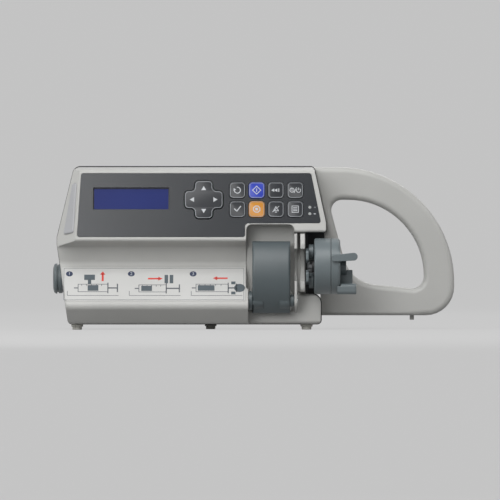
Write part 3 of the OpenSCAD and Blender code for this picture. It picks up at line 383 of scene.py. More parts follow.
# Carrying handle: one loop moulded in the case's ABS, with fully rounded edges, whose root
# fills the side of the case and is screwed on from inside. A small peg stands below it.
handle_low, handle_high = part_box("carry_handle")
handle_round = 5 * mm
handle_depth = 25 * mm
cut_offset = 3 * mm
root_length = 14 * mm
weld_gap = 0.05 * mm
front_band = 0.1 * mm
end_band = 0.5 * mm
peg_round = 0.4 * mm
handle_cut_y = handle_high.y - handle_depth / 2 + cut_offset
handle_front_y = handle_high.y - handle_depth
root_x = handle_low.x + root_length
carry_handle = copy_of("carry_handle", "carry_handle_loop")
bpy.ops.object.mode_set(mode="EDIT")
bpy.ops.mesh.select_all(action="SELECT")
bpy.ops.mesh.bisect(plane_co=(0, handle_cut_y, 0), plane_no=(0, 1, 0), clear_inner=True, clear_outer=True)
bpy.ops.mesh.select_all(action="SELECT")
bpy.ops.mesh.remove_doubles(threshold=weld_gap)
bpy.ops.mesh.fill(use_beauty=True)
bpy.ops.mesh.dissolve_limited(angle_limit=math.radians(0.1))
bpy.ops.mesh.select_all(action="SELECT")
bpy.ops.mesh.bisect(plane_co=(root_x, 0, 0), plane_no=(1, 0, 0))
bpy.ops.mesh.select_all(action="SELECT")
bpy.ops.transform.translate(value=(0, handle_front_y - handle_cut_y, 0))
bpy.ops.mesh.extrude_region_move(TRANSFORM_OT_translate={"value": (0, handle_depth, 0)})
bpy.ops.mesh.select_all(action="SELECT")
bpy.ops.mesh.normals_make_consistent(inside=False)
loop = bmesh.from_edit_mesh(carry_handle.data)
for vert in loop.verts:
    if vert.co.x < root_x and abs(vert.co.y - handle_front_y) < front_band:
        reach = (root_x - vert.co.x) / (root_x - handle_low.x)
        vert.co.y -= reach * (handle_front_y - handle_low.y)
bmesh.update_edit_mesh(carry_handle.data)
bpy.ops.object.mode_set(mode="OBJECT")


def handle_share(middle, facing):
    """Rounds the rims of the loop, and leaves the end that lies against the case."""
    on_rim = 0.25 < abs(facing.y) < 0.95
    return 1 if on_rim and middle.x > handle_low.x + end_band else 0


rounded(carry_handle, handle_round, handle_share, segments=6)
fit(carry_handle, "case", "handle_plastic", case_plastic, "carry_handle")
peg = rounded(copy_of("handle_peg", "handle_peg_pin"), peg_round)
fit(peg, "case", "handle_plastic", case_plastic, "handle_peg")


# Control panel: a charcoal polyester film with a fine satin emboss, printed from behind and
# bonded into the shallow recess of the front shell.

# The film is dark, and its emboss spreads the lamps' reflection into a soft sheen. The emboss
# is finer than the 0.5 mm at which it is drawn to show.
panel_film = moulded("satin_polyester_film", ("#1F2328", "#23272C"), roughness=0.24, grain=0.5, relief=0.008)
dress("panel_overlay", panel_film)


# Display: a blue liquid crystal behind a sunken clear window, with a black printed border. The
# border's black also stands in for the shade under the window's rim, so it is partly painted
# shade. The glass is smooth and has a thin coating against glare.
display_border = 0.7 * mm
display_sink = 0.2 * mm
window = copy_of("lcd_window", "display_window")
bpy.ops.object.mode_set(mode="EDIT")
bpy.ops.mesh.select_all(action="DESELECT")
glass = bmesh.from_edit_mesh(window.data)
for face in glass.faces:
    face.select_set(face.normal.dot(panel_out) > 0.9)
bpy.ops.mesh.inset(thickness=display_border, depth=-display_sink)
bpy.ops.object.mode_set(mode="OBJECT")
# Ink behind a clear sheet is black with little sheen. Round the window it is also painted shade,
# for the rim's shadow. The unlit crystal is deep blue, and its coating takes most of the
# reflection away.
border_ink_and_shade = moulded("black_border_and_painted_shade", ("#131418", "#18191D"), roughness=0.5, grain=0.5, relief=0.004)
lcd_glass = moulded("blue_LCD_glass", ("#1C2A6A", "#182564"), roughness=0.3, grain=0.6, relief=0.002,
    Specular_IOR_Level=0.15)
window.data.materials.append(border_ink_and_shade)
window.data.materials.append(lcd_glass)
for face in window.data.polygons:
    face.material_index = 1 if face.select else 0
alone(window)
bpy.ops.object.shade_flat()
fit(window, "case", "window", None, "lcd_window")


# Keys: eight flat-topped buttons of the panel's film over silicone, each with a thin printed
# outline and a symbol in pale ink. Start is blue and stop is amber.
panel_up = panel_out.cross(Vector((1, 0, 0)))
key_round = 0.35 * mm
outline_margin = 0.1 * mm
outline_width = 0.4 * mm
ink_depth = 0.06 * mm
# Screen ink is flat and opaque, with a dull surface.
pale_ink = moulded("pale_screen_ink", ("#BFC2C6", "#C8CBCE"), roughness=0.5, grain=0.4, relief=0.004)
outline_ink = moulded("grey_screen_ink", ("#8F9397", "#989CA0"), roughness=0.5, grain=0.4, relief=0.004)
# The keys' film has a rougher emboss than the panel's, so it reflects less.
key_film = moulded("satin_key_film", ("#22252A", "#272A2F"), roughness=0.4, grain=0.5, relief=0.012)
blue_film = moulded("blue_key_film", ("#2339AA", "#2A41B4"), roughness=0.4, grain=0.5, relief=0.012)
amber_film = moulded("amber_key_film", ("#C4821F", "#CE8C29"), roughness=0.4, grain=0.5, relief=0.012)


def start_drawing(name):
    """Opens an empty mesh to draw flat figures in, in metres on its own plane."""
    bpy.ops.object.select_all(action="DESELECT")
    bpy.ops.object.add(type="MESH", location=(0, 0, 0))
    drawing = bpy.context.active_object
    drawing.name = drawing.data.name = name
    bpy.ops.object.mode_set(mode="EDIT")
    return drawing


def bar(x, y, length, width, turn=0):
    """A straight stroke of ink about (x, y), in mm and degrees."""
    angle = math.radians(turn)
    bpy.ops.mesh.select_all(action="DESELECT")
    bpy.ops.mesh.primitive_plane_add(size=1, location=(x * mm, y * mm, 0), rotation=(0, 0, angle),
        scale=(1, 1, 1))
    bpy.ops.transform.resize(value=(length * mm, width * mm, 1), orient_type="LOCAL",
        orient_matrix=Matrix.Rotation(angle, 3, "Z"), orient_matrix_type="LOCAL",
        center_override=(x * mm, y * mm, 0))


def spot(x, y, radius, corners=24, turn=0):
    """A filled figure of ink: a dot, or a triangle, diamond or other polygon, in mm."""
    bpy.ops.mesh.select_all(action="DESELECT")
    bpy.ops.mesh.primitive_circle_add(vertices=corners, radius=radius * mm, fill_type="NGON",
        location=(x * mm, y * mm, 0), rotation=(0, 0, math.radians(turn)))


def hoop(x, y, radius, width, corners=32, turn=0, gap=None):
    """An outlined figure of ink, in mm. gap leaves out the part between two angles in degrees."""
    spot(x, y, radius, corners, turn)
    bpy.ops.mesh.inset(thickness=width * mm)
    bpy.ops.mesh.delete(type="FACE")
    if gap:
        bpy.ops.mesh.select_all(action="DESELECT")
        figure = bmesh.from_edit_mesh(bpy.context.active_object.data)
        for face in figure.faces:
            middle = face.calc_center_median() - Vector((x * mm, y * mm, 0))
            angle = math.degrees(math.atan2(middle.y, middle.x)) % 360
            near = abs(middle.length - (radius - width / 2) * mm) < 0.6 * width * mm
            face.select_set(near and gap[0] < angle < gap[1])
        bpy.ops.mesh.delete(type="FACE")


def lay_on(drawing, place, up, out, ink, depth=ink_depth):
    """Gives a drawing its thickness and lays it on a surface that faces out, with up its top.
    A part of its thickness sinks into the surface, so that it never floats."""
    sunk_share = 0.4
    bpy.ops.mesh.select_all(action="SELECT")
    bpy.ops.mesh.extrude_region_move(TRANSFORM_OT_translate={"value": (0, 0, depth)})
    bpy.ops.mesh.select_all(action="SELECT")
    bpy.ops.mesh.normals_make_consistent(inside=False)
    bpy.ops.object.mode_set(mode="OBJECT")
    drawing.rotation_euler = (math.atan2(up.z, up.y), 0, 0)
    drawing.location = place - out * depth * sunk_share
    alone(drawing)
    bpy.ops.object.transform_apply(location=True, rotation=True, scale=True)
    drawing.data.materials.append(ink)


def top_of(node):
    """The middle of a key's outer face."""
    corners = [v.co for v in frame["nodes"][node].data.vertices]
    spans = [[c.dot(way) for c in corners] for way in (Vector((1, 0, 0)), panel_up, panel_out)]
    x, v = ((min(span) + max(span)) / 2 for span in spans[:2])
    return Vector((x, 0, 0)) + panel_up * v + panel_out * max(spans[2])


def print_outline(piece, margin, width):
    """Prints a thin line round the top of a key: a narrow inset face in the second material."""
    top_band = 0.05 * mm
    alone(piece)
    bpy.ops.object.mode_set(mode="EDIT")
    bpy.ops.mesh.select_all(action="DESELECT")
    cap = bmesh.from_edit_mesh(piece.data)
    tops = [f for f in cap.faces if f.normal.dot(panel_out) > 0.999]
    level = max(f.calc_center_median().dot(panel_out) for f in tops)
    for face in tops:
        face.select_set(level - face.calc_center_median().dot(panel_out) < top_band)
    bpy.ops.mesh.inset(thickness=margin)
    bpy.ops.mesh.inset(thickness=width)
    bpy.ops.mesh.select_more(use_face_step=False)
    cap = bmesh.from_edit_mesh(piece.data)
    for face in cap.faces:
        if face.select:
            face.material_index = 1
    bpy.ops.mesh.select_less(use_face_step=False)
    for face in bmesh.from_edit_mesh(piece.data).faces:
        if face.select:
            face.material_index = 0
    bmesh.update_edit_mesh(piece.data)
    bpy.ops.object.mode_set(mode="OBJECT")


def join_to(piece, *parts):
    """Makes printed or fixed parts one mesh with the piece that carries them."""
    alone(piece)
    for part in parts:
        part.select_set(True)
    bpy.ops.object.join()


def draw_back():
    """A ring that turns back: open at the top left, with a head at its end."""
    hoop(0, 0, 2.9, 0.7, 40, gap=(95, 185))
    spot(-2.5, 0.5, 1.35, 3, 30)


def draw_start():
    """A stroke in a diamond."""
    hoop(0, 0, 3.9, 0.65, 4)
    bar(0, 0, 0.7, 2.9)


def draw_fast():
    """Two heads that run to the left, and a stroke."""
    for x in (-2.3, 0.3):
        spot(x, 0, 1.7, 3, 90)
    bar(2.4, 0, 0.8, 3.0)


def draw_power():
    """A closed ring and an open one, each with a stroke, and a slash between them."""
    line = 0.55
    hoop(-2.7, 0, 2.0, line, 32)
    bar(-2.7, 0, line, 1.9)
    bar(0, 0, 5.4, 0.45, 66)
    hoop(2.8, -0.2, 2.0, line, 32, gap=(58, 122))
    bar(2.8, 1.1, line, 2.2)


def draw_ok():
    """A tick."""
    bar(-1.6, -0.7, 3.0, 0.85, -45)
    bar(1.2, 0.4, 5.6, 0.85, 52)


def draw_stop():
    """A square in an octagon."""
    hoop(0, 0, 3.3, 0.8, 8, 22.5)
    bar(0, 0, 2.2, 2.2)


def draw_mute():
    """A bell, drawn as a triangle on a foot, with a slash through it."""
    hoop(0, -0.2, 3.0, 0.6, 3, 0)
    bar(0, -2.6, 1.8, 0.6)
    bar(-0.1, 0.1, 7.4, 0.5, 42)


def draw_menu():
    """Three rows in a square."""
    hoop(0, 0, 4.2, 0.5, 4, 45)
    for row in (-1.3, 0, 1.3):
        bar(0, row, 3.6, 0.55)


key_symbols = {
    "key_back": (draw_back, key_film, "key_dark"),
    "key_start": (draw_start, blue_film, "key_blue"),
    "key_fast": (draw_fast, key_film, "key_dark"),
    "key_power": (draw_power, key_film, "key_dark"),
    "key_ok": (draw_ok, key_film, "key_dark"),
    "key_stop": (draw_stop, amber_film, "key_orange"),
    "key_mute": (draw_mute, key_film, "key_dark"),
    "key_menu": (draw_menu, key_film, "key_dark"),
}
for node, (draw, film, slot) in key_symbols.items():
    key = rounded(copy_of(node, node + "_cap"), key_round, segments=2)
    key.data.materials.append(film)
    key.data.materials.append(outline_ink)
    print_outline(key, outline_margin, outline_width)
    symbol = start_drawing(node + "_symbol")
    draw()
    lay_on(symbol, top_of(node), panel_up, panel_out, pale_ink)
    join_to(key, symbol)
    fit(key, node, slot, None, node)


# Arrow pad: a four-way rocker in the same film over silicone, with a printed outline and an
# arrowhead on each arm. It rocks on a post under its middle.
pad_round = 0.5 * mm
arrow_reach = 9.3
arrow_size = 2.4
arrow_pad = rounded(copy_of("arrow_pad", "arrow_pad_cap"), pad_round, segments=3)
arrow_pad.data.materials.append(key_film)
arrow_pad.data.materials.append(outline_ink)
print_outline(arrow_pad, outline_margin, outline_width)
arrows = start_drawing("arrow_marks")
for turn in (0, 90, 180, 270):
    angle = math.radians(turn)
    spot(arrow_reach * math.sin(-angle), arrow_reach * math.cos(angle), arrow_size, 3, turn)
lay_on(arrows, top_of("arrow_pad"), panel_up, panel_out, pale_ink)
join_to(arrow_pad, arrows)
fit(arrow_pad, "arrow_pad", "key_dark", None, "arrow_pad")
# Acetal is off-white, with a waxy sheen.
post_acetal = moulded("acetal_post", ("#D9D8D2", "#E2E1DB"), roughness=0.4, grain=0.6, relief=0.01)
dress("arrow_pivot", post_acetal)


# Status lamps: two clear acrylic light pipes flush in the panel, each with a small printed
# symbol beside it, for the mains and for the battery.
lamp_marks_right = 4.2 * mm
lamp_rise = 2.8
# Unlit acrylic in a dark hole looks grey, and it is glossy.
lamp_acrylic = moulded("clear_acrylic_lamp", ("#A6A9A8", "#AFB2B1"), roughness=0.18, grain=0.6,
    relief=0.006, Coat_Weight=0.4)
dress("status_lamps", lamp_acrylic)
lamp_marks = start_drawing("lamp_marks")
bar(-0.4, lamp_rise, 1.0, 0.3, 35)
bar(0.5, lamp_rise, 1.0, 0.3, 35)
bar(-0.1, -lamp_rise, 1.7, 0.9)
bar(0.95, -lamp_rise, 0.3, 0.4)
lamp_place = top_of("status_lamps") + Vector((lamp_marks_right, 0, 0))
lamp_place -= panel_out * (lamp_place.dot(panel_out) - panel_level)
lay_on(lamp_marks, lamp_place, panel_up, panel_out, pale_ink)
fit(lamp_marks, "case", "overlay", None)


# Alarm lens: the cover of the alarm's light, moulded in frosted polycarbonate and set into the
# left cheek of the case, where it is seen from the front and from the side. It isn't lit.
lens_round = 1.6 * mm
# Frosted polycarbonate is nearly as pale as the case and cooler. Its skin takes soft highlights.
frosted_lens = moulded("frosted_polycarbonate", ("#A3A4A7", "#A8A9AC"), roughness=0.3, grain=0.6,
    relief=0.01, soft=1.5, Coat_Weight=0.3)
lens = rounded(copy_of("alarm_lens", "alarm_light_lens"), lens_round, segments=5)
fit(lens, "case", "lens", frosted_lens, "alarm_lens")


# Loading label: a laminated white polyester film stuck on the slope at the front of the case,
# printed with numbered discs and simple figures that show how a syringe is put in.
label_out, label_level = outer_face("loading_label")
label_up = label_out.cross(Vector((1, 0, 0)))
# The laminate over the print gives the white an even, dull sheen.
label_film = moulded("laminated_label_film", ("#C0C0BE", "#C5C5C3"), roughness=0.42, grain=0.7, relief=0.006)
dress("loading_label", label_film)
label_corners = [v.co for v in frame["nodes"]["loading_label"].data.vertices]
label_left = min(c.x for c in label_corners)
label_right = max(c.x for c in label_corners)
label_foot = min(c.dot(label_up) for c in label_corners)
label_head = max(c.dot(label_up) for c in label_corners)
label_middle = (Vector(((label_left + label_right) / 2, 0, 0))
    + label_up * (label_foot + label_head) / 2 + label_out * label_level)
label_wide = (label_right - label_left) / mm
label_tall = (label_head - label_foot) / mm
label_ink_depth = 0.05 * mm
border_inset = 1.2
border_line = 0.3
figure_xs = (-52, 0, 52)
disc_left = 19
disc_rise = 11.4
digit_size = 4.4 * mm
digit_depth = 0.03 * mm
digit_lift = 0.04 * mm
# The label has the same dull screen ink in four dark or strong colours.
navy_ink = moulded("navy_screen_ink", ("#2B3650", "#323D59"), roughness=0.5, grain=0.4, relief=0.004)
slate_ink = moulded("slate_screen_ink", ("#4A545A", "#535D63"), roughness=0.5, grain=0.4, relief=0.004)
red_ink = moulded("red_screen_ink", ("#CF3B30", "#D8453A"), roughness=0.5, grain=0.4, relief=0.004)
line_ink = moulded("grey_line_ink", ("#565B61", "#5E6369"), roughness=0.5, grain=0.4, relief=0.004)


def print_on_label(name, ink, draw):
    """Prints one colour of the label's figures."""
    drawing = start_drawing(name)
    draw()
    lay_on(drawing, label_middle, label_up, label_out, ink, label_ink_depth)
    fit(drawing, "case", "label", None)


def syringe(x, y, length, tall, plunger):
    """Outline of a syringe lying on its side: barrel, nozzle, flange, rod and thumb plate."""
    line = 0.55
    for side in (-1, 1):
        bar(x, y + side * tall / 2, length, line)
    bar(x - length / 2, y, line, tall)
    bar(x - length / 2 - 1.8, y, 3.4, 1.1)
    bar(x + length / 2, y, 0.9, tall + 3.4)
    bar(x + length / 2 + plunger / 2, y, plunger, 1.4)
    bar(x + length / 2 + plunger, y, 1.0, tall + 1)
    for tick in range(5):
        bar(x - length / 2 + 3 + tick * length / 6, y + tall / 2 - 1.1, 0.45, 1.8)


def arrow(x, y, length, turn):
    """A red arrow whose tip points the way of turn, in degrees from the right."""
    way = Vector((math.cos(math.radians(turn)), math.sin(math.radians(turn))))
    bar(x, y, length, 1.7, turn)
    spot(x + way.x * length / 2, y + way.y * length / 2, 2.5, 3, turn - 90)


def draw_lines():
    """The three syringes, the edges of the bench they lie on, and the label's border."""
    syringe(-51, -4.5, 25, 8.5, 8)
    syringe(-1, -5, 23, 8, 11)
    syringe(49, -4.5, 27, 8.5, 7)
    for x in figure_xs:
        bar(x + 1, -13, 43, 0.45)
        bar(x - 20.5, -10.5, 0.45, 5)
    for side in (-1, 1):
        bar(0, side * label_tall / 2 - side * border_inset, label_wide - 2 * border_inset, border_line)
        bar(side * label_wide / 2 - side * border_inset, 0, border_line, label_tall - 2 * border_inset)


def draw_blocks():
    """The clamp over the first barrel, the slot for the second one's flange, the driver behind
    the third, and the fluid in all of them."""
    bar(-54, 7.5, 9, 6)
    bar(-54, 2.6, 2.8, 5)
    bar(-51, -4.5, 9, 6.4)
    bar(10.5, 5.5, 3, 9.5)
    bar(14.8, 5.5, 3, 9.5)
    bar(-6, -5, 9, 5.8)
    spot(72, -4.5, 4.6, 24)
    bar(66.8, 1.2, 3.6, 3.2)
    bar(66.8, -10.2, 3.6, 3.2)
    bar(44, -4.5, 14, 6.2)


def draw_arrows():
    """Clamp up, flange into the slot, driver up to the plunger."""
    arrow(-43, 7.5, 8.5, 90)
    arrow(0, 6, 10, 0)
    arrow(57, 6.5, 10, 180)


def draw_discs():
    """The discs under the numbers."""
    for x in figure_xs:
        spot(x - disc_left, disc_rise, 2.9, 32)


print_on_label("label_lines", line_ink, draw_lines)
print_on_label("label_blocks", slate_ink, draw_blocks)
print_on_label("label_arrows", red_ink, draw_arrows)
print_on_label("label_discs", navy_ink, draw_discs)
for number, x in enumerate(figure_xs, 1):
    bpy.ops.object.select_all(action="DESELECT")
    bpy.ops.object.text_add(location=(0, 0, 0))
    digit = bpy.context.active_object
    digit.name = "label_digit_%d" % number
    digit.data.body = str(number)
    digit.data.size = digit_size
    digit.data.align_x = "CENTER"
    digit.data.align_y = "CENTER"
    digit.data.extrude = digit_depth
    bpy.ops.object.convert(target="MESH")
    digit.rotation_euler = (math.atan2(label_up.z, label_up.y), 0, 0)
    digit.location = (label_middle + Vector(((x - disc_left) * mm, 0, 0))
        + label_up * disc_rise * mm + label_out * digit_lift)
    bpy.ops.object.transform_apply(location=True, rotation=True, scale=True)
    digit.data.materials.append(pale_ink)
    fit(digit, "case", "label", None)


# Flange holder: the cradle's end wall with a slot and a plate, one moulding in the case's ABS
# that is fixed to the front shell. The flange of the syringe drops into the slot.
holder_round = 0.5 * mm
flange_holder = rounded(copy_of("flange_plate", "flange_holder"), holder_round, segments=2)
fit(flange_holder, "case", "case_plastic", case_plastic, "flange_plate")


# Barrel clamp: a spring-loaded hook moulded in slate grey ABS that swings down over the
# syringe's barrel, with a rubber liner inside and a steel hinge pin.
clamp_round = 1.9 * mm
free_end = 12 * mm
side_band = 0.1 * mm
clamp_low, clamp_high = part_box("barrel_clamp")
# The case's ABS in slate grey, with a slightly finer grain and more sheen.
clamp_plastic = moulded("moulded_slate_ABS", ("#4A5356", "#4F585B"), roughness=0.4, grain=0.8, relief=0.018,
    soft=0.8)


def clamp_share(middle, facing):
    """Rounds the hook's two sides and its free end, and leaves the knuckles' edges sharp."""
    at_side = min(middle.x - clamp_low.x, clamp_high.x - middle.x) < side_band
    return 1 if at_side or middle.z > clamp_high.z - free_end else 0


barrel_clamp = rounded(copy_of("barrel_clamp", "barrel_clamp_hook"), clamp_round, clamp_share, segments=4)
pin_low, pin_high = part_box("clamp_hinge_pin")
hinge_y, hinge_z = (pin_low.y + pin_high.y) / 2, (pin_low.z + pin_high.z) / 2
pin_radius = (pin_high.z - pin_low.z) / 2
pin_gap = 0.1 * mm
boss_round = 0.5 * mm
boss_corners = 56
left_boss_x = -4.1 * mm
left_boss_radius = 8 * mm
right_boss_x = 34.3 * mm
right_boss_radius = 5 * mm


def hinge_boss(name, start, end, radius):
    """A sleeve round the hinge pin that is moulded on the side of the hook."""
    bpy.ops.object.select_all(action="DESELECT")
    bpy.ops.object.add(type="MESH", location=(0, 0, 0))
    boss = bpy.context.active_object
    boss.name = boss.data.name = name
    bpy.ops.object.mode_set(mode="EDIT")
    bpy.ops.mesh.primitive_circle_add(vertices=boss_corners, radius=radius, fill_type="NGON",
        location=(start, hinge_y, hinge_z), rotation=(0, math.pi / 2, 0))
    bpy.ops.mesh.inset(thickness=radius - pin_radius - pin_gap)
    bpy.ops.mesh.delete(type="FACE")
    bpy.ops.mesh.select_all(action="SELECT")
    bpy.ops.mesh.extrude_region_move(TRANSFORM_OT_translate={"value": (end - start, 0, 0)})
    bpy.ops.mesh.select_all(action="SELECT")
    bpy.ops.mesh.normals_make_consistent(inside=False)
    bpy.ops.object.mode_set(mode="OBJECT")
    return rounded(boss, boss_round)


left_boss = hinge_boss("left_hinge_boss", left_boss_x, clamp_low.x, left_boss_radius)
right_boss = hinge_boss("right_hinge_boss", clamp_high.x, right_boss_x, right_boss_radius)
join_to(barrel_clamp, left_boss, right_boss)
fit(barrel_clamp, "barrel_clamp", "clamp_plastic", clamp_plastic, "barrel_clamp")
# Nitrile rubber is black and dull.
liner_rubber = moulded("moulded_nitrile_rubber", ("#26282A", "#2C2E30"),
    roughness=0.75, grain=0.7, relief=0.02)
dress("clamp_liner", liner_rubber)


def bare_metal(name, colours, roughness, grit):
    """A bare metal that was ground or drawn: fine lines along X vary its shine. grit is the
    lines' spacing in mm, which is drawn coarser than the real one so that it shows."""
    shine_spread = 0.08
    line_stretch = 0.05
    material, shader, place = new_finish(name, roughness, Metallic=1.0)
    stretch = add_node(material, "Mapping", values={"Scale": (line_stretch, 1, 1)}, links={"Vector": place})
    lines = add_node(material, "TexNoise", values={"Scale": 1 / (grit * mm), "Detail": 3},
        links={"Vector": stretch.outputs["Vector"]})
    tone = add_node(material, "ValToRGB", links={"Fac": lines.outputs["Fac"]},
        ramp=((0.3, colours[0]), (0.7, colours[1])))
    shine = add_node(material, "MapRange", links={"Value": lines.outputs["Fac"]},
        values={"To Min": roughness - shine_spread, "To Max": roughness + shine_spread})
    material.node_tree.links.new(tone.outputs["Color"], shader.inputs["Base Color"])
    material.node_tree.links.new(shine.outputs["Result"], shader.inputs["Roughness"])
    return material


# Ground steel is bright, with a streaky shine along the rod.
ground_steel = bare_metal("ground_steel", ("#A9ABAE", "#B9BBBE"), roughness=0.3, grit=0.5)
dress("clamp_hinge_pin", ground_steel)
dress("clamp_spring", ground_steel)


# Plunger driver: a round head of grey ABS that slides out of the case on its tube and pushes
# the plunger. Its ring turns with two wings, which open the claws and free the drive.
drum_axis = Vector((0, -46 * mm, 53.3 * mm))
drum_radius = 23.5 * mm
drum_band = 0.4 * mm
rim_facing = 0.3
seam_share = 0.12
inner_share = 0.08
drum_round = 1.6 * mm
ring_round = 2.6 * mm
wing_round = 0.8 * mm
claw_round = 0.5 * mm
button_round = 0.4 * mm
shield_round = 0.5 * mm
# The case's ABS in a lighter blue grey, with the clamp's fine grain and a little more sheen.
driver_plastic = moulded("moulded_blue_grey_ABS", ("#636C6F", "#687174"), roughness=0.38, grain=0.8,
    relief=0.018, soft=0.6)


def on_drum(middle):
    """Whether an edge lies on the round outside of the drum and its ring."""
    return abs((middle - drum_axis).yz.length - drum_radius) < drum_band


def drum_share(middle, facing):
    """Full rounding on the drum's left rim, hardly any at the seam with the turning ring."""
    return 1 if on_drum(middle) and facing.x < -rim_facing else seam_share


def ring_share(middle, facing):
    """Full rounding on the turning ring's outer rim, little elsewhere."""
    return 1 if on_drum(middle) and facing.x > rim_facing else inner_share


driver_head = rounded(copy_of("driver_housing", "driver_head"), drum_round, drum_share, segments=4)
fit(driver_head, "driver", "driver_plastic", driver_plastic, "driver_housing")
turning_ring = rounded(copy_of("driver_cap", "turning_ring"), ring_round, ring_share, segments=5)
fit(turning_ring, "clutch", "driver_plastic", driver_plastic, "driver_cap")
lower_wing = rounded(copy_of("clutch_lever", "lower_wing"), wing_round, segments=3)
fit(lower_wing, "clutch", "driver_plastic", driver_plastic, "clutch_lever")
for node in ("upper_claw", "lower_claw"):
    claw = rounded(copy_of(node, node + "_jaw"), claw_round, segments=3)
    fit(claw, node, "driver_plastic", driver_plastic, node)
# The same plastic in black, with less sheen.
black_plastic = moulded("black_ABS", ("#1B1C1E", "#202123"), roughness=0.5, grain=0.8, relief=0.018)
button = rounded(copy_of("plunger_button", "force_button"), button_round)
fit(button, "plunger_button", "black_plastic", black_plastic, "plunger_button")
# Tube shield: a black plate round the tube at the case's end wall. Its black also stands in for the deep
# shade in the gap between the flange holder and the drum, so it is partly painted shade.
shield = rounded(copy_of("side_shield", "tube_shield"), shield_round)
fit(shield, "case", "black_plastic", black_plastic, "side_shield")
dress("drive_tube", ground_steel)
dress("release_shaft", ground_steel)


# Drive: a steel screw in ball bearings on an aluminium frame, turned by a stepper motor and a
# belt. A bronze half nut on the carriage follows the screw.

# Aluminium sheet is pale and softly streaked, bronze is warm and shinier, the motor's enamel
# is black with a sheen, and the belt is black and dull.
sheet_aluminium = bare_metal("bare_aluminium_sheet", ("#A6A9AC", "#B4B7BA"), roughness=0.38, grit=0.8)
turned_bronze = bare_metal("machined_bronze", ("#A98549", "#B89456"), roughness=0.32, grit=0.4)
motor_paint = moulded("black_motor_enamel", ("#2C2C2E", "#333335"), roughness=0.4, grain=0.7, relief=0.01)
belt_rubber = moulded("belt_neoprene", ("#161616", "#1C1C1C"), roughness=0.7, grain=0.6, relief=0.02)
for node, finish in {
    "drive_chassis": sheet_aluminium, "carriage": sheet_aluminium, "half_nut": turned_bronze,
    "lead_screw": ground_steel, "guide_rod": ground_steel, "screw_bearings": ground_steel,
    "screw_pulley": sheet_aluminium, "motor_pulley": sheet_aluminium,
    "stepper_motor": motor_paint, "drive_belt": belt_rubber,
}.items():
    dress(node, finish)


# Electronics: glass-fibre boards in green solder mask, the display's module, a sleeved
# battery pack and a small loudspeaker, all fixed inside the two shells.

# Solder mask is glossy green, and the shrunk sleeve of the battery is a satin blue.
solder_mask = moulded("green_solder_mask", ("#1F5C38", "#25663F"), roughness=0.32, grain=0.8, relief=0.01)
battery_sleeve = moulded("blue_battery_sleeve", ("#2A4C8E", "#305497"),
    roughness=0.35, grain=0.9, relief=0.01)
for node in ("lcd_module", "keypad_board", "main_board", "power_board"):
    dress(node, solder_mask)
dress("battery_pack", battery_sleeve)
dress("speaker", black_plastic)


# Back of the case: the battery's cover with its grip ribs, moulded in the case's ABS, the mains
# inlet and the data socket in black plastic, and the pole clamp, a painted casting with a pad
# and a knob on a steel spindle. Screws hold the shells and the clamp.
to_back, back_up = Vector((0, 1, 0)), Vector((0, 0, -1))
cover_low, cover_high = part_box("battery_cover")
cover_round = 0.5 * mm
inlet_round = 0.4 * mm
port_round = 0.3 * mm
casting_round = 1.2 * mm
clamp_pad_round = 0.8 * mm
knob_round = 0.4 * mm
rib_count = 5
rib_pitch = 2.4
rib_length = 16
rib_width = 1.1
rib_height = 0.6 * mm
ribs_drop = 6 * mm
case_screw_places = ((-146, 10.7), (-139, 131.3), (-56, 131.3), (38, 131.3), (40, 10.7))
cross_length = 3.2
cross_width = 0.7
clamp_screw_xs = (-121, -105.8)
clamp_screw_z = 42.8
hexagon_radius = 1.9
battery_cover = rounded(copy_of("battery_cover", "battery_bay_cover"), cover_round, segments=2)
grip = start_drawing("cover_grip_ribs")
for row in range(rib_count):
    bar(0, row * rib_pitch, rib_length, rib_width)
ribs_place = Vector(((cover_low.x + cover_high.x) / 2, cover_high.y, cover_high.z - ribs_drop))
lay_on(grip, ribs_place, back_up, to_back, case_plastic, rib_height)
join_to(battery_cover, grip)
fit(battery_cover, "case", "case_plastic", case_plastic, "battery_cover")
inlet = rounded(copy_of("power_inlet", "mains_inlet"), inlet_round, segments=2)
fit(inlet, "case", "black_plastic", black_plastic, "power_inlet")
port = rounded(copy_of("data_port", "data_socket"), port_round, segments=2)
fit(port, "case", "black_plastic", black_plastic, "data_port")
# Paint on a die casting is even and slightly orange-peeled.
cast_paint = moulded("painted_die_casting", ("#85888C", "#8B8E92"), roughness=0.45, grain=0.8, relief=0.03)
pole_clamp = rounded(copy_of("pole_clamp_body", "pole_clamp_casting"), casting_round)
fit(pole_clamp, "case", "clamp_metal", cast_paint, "pole_clamp_body")
pad = rounded(copy_of("pole_pad", "pole_clamp_pad"), clamp_pad_round)
fit(pad, "pole_pad", "black_plastic", black_plastic, "pole_pad")
knob = rounded(copy_of("clamp_knob", "pole_clamp_knob"), knob_round)
fit(knob, "clamp_knob", "black_plastic", driver_plastic, "clamp_knob")
dress("clamp_spindle", ground_steel)
dress("pole_clamp_screws", ground_steel)
dress("case_screws", ground_steel)
# The screws' sockets are not cut into their heads. Flat black crosses and hexagons laid on the heads are
# painted shade for them, dull and black.
socket_shade_black = moulded("painted_socket_shade", ("#1A1A1B", "#202021"), roughness=0.6, grain=0.4, relief=0.01)
# Painted shade: a black cross laid on each case screw's head stands for its socket.
case_socket_shade = start_drawing("case_screw_socket_shade")
for x, z in case_screw_places:
    for turn in (0, 90):
        bar(x, -z, cross_length, cross_width, turn)
lay_on(case_socket_shade, Vector((0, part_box("case_screws")[1].y, 0)), back_up, to_back, socket_shade_black)
fit(case_socket_shade, "case", "steel", None)
# Painted shade: a black hexagon laid on each pole clamp screw's head stands for its socket.
clamp_socket_shade = start_drawing("clamp_screw_socket_shade")
for x in clamp_screw_xs:
    spot(x, -clamp_screw_z, hexagon_radius, 6)
lay_on(clamp_socket_shade, Vector((0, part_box("pole_clamp_screws")[1].y, 0)), back_up, to_back, socket_shade_black)
fit(clamp_socket_shade, "case", "steel", None)


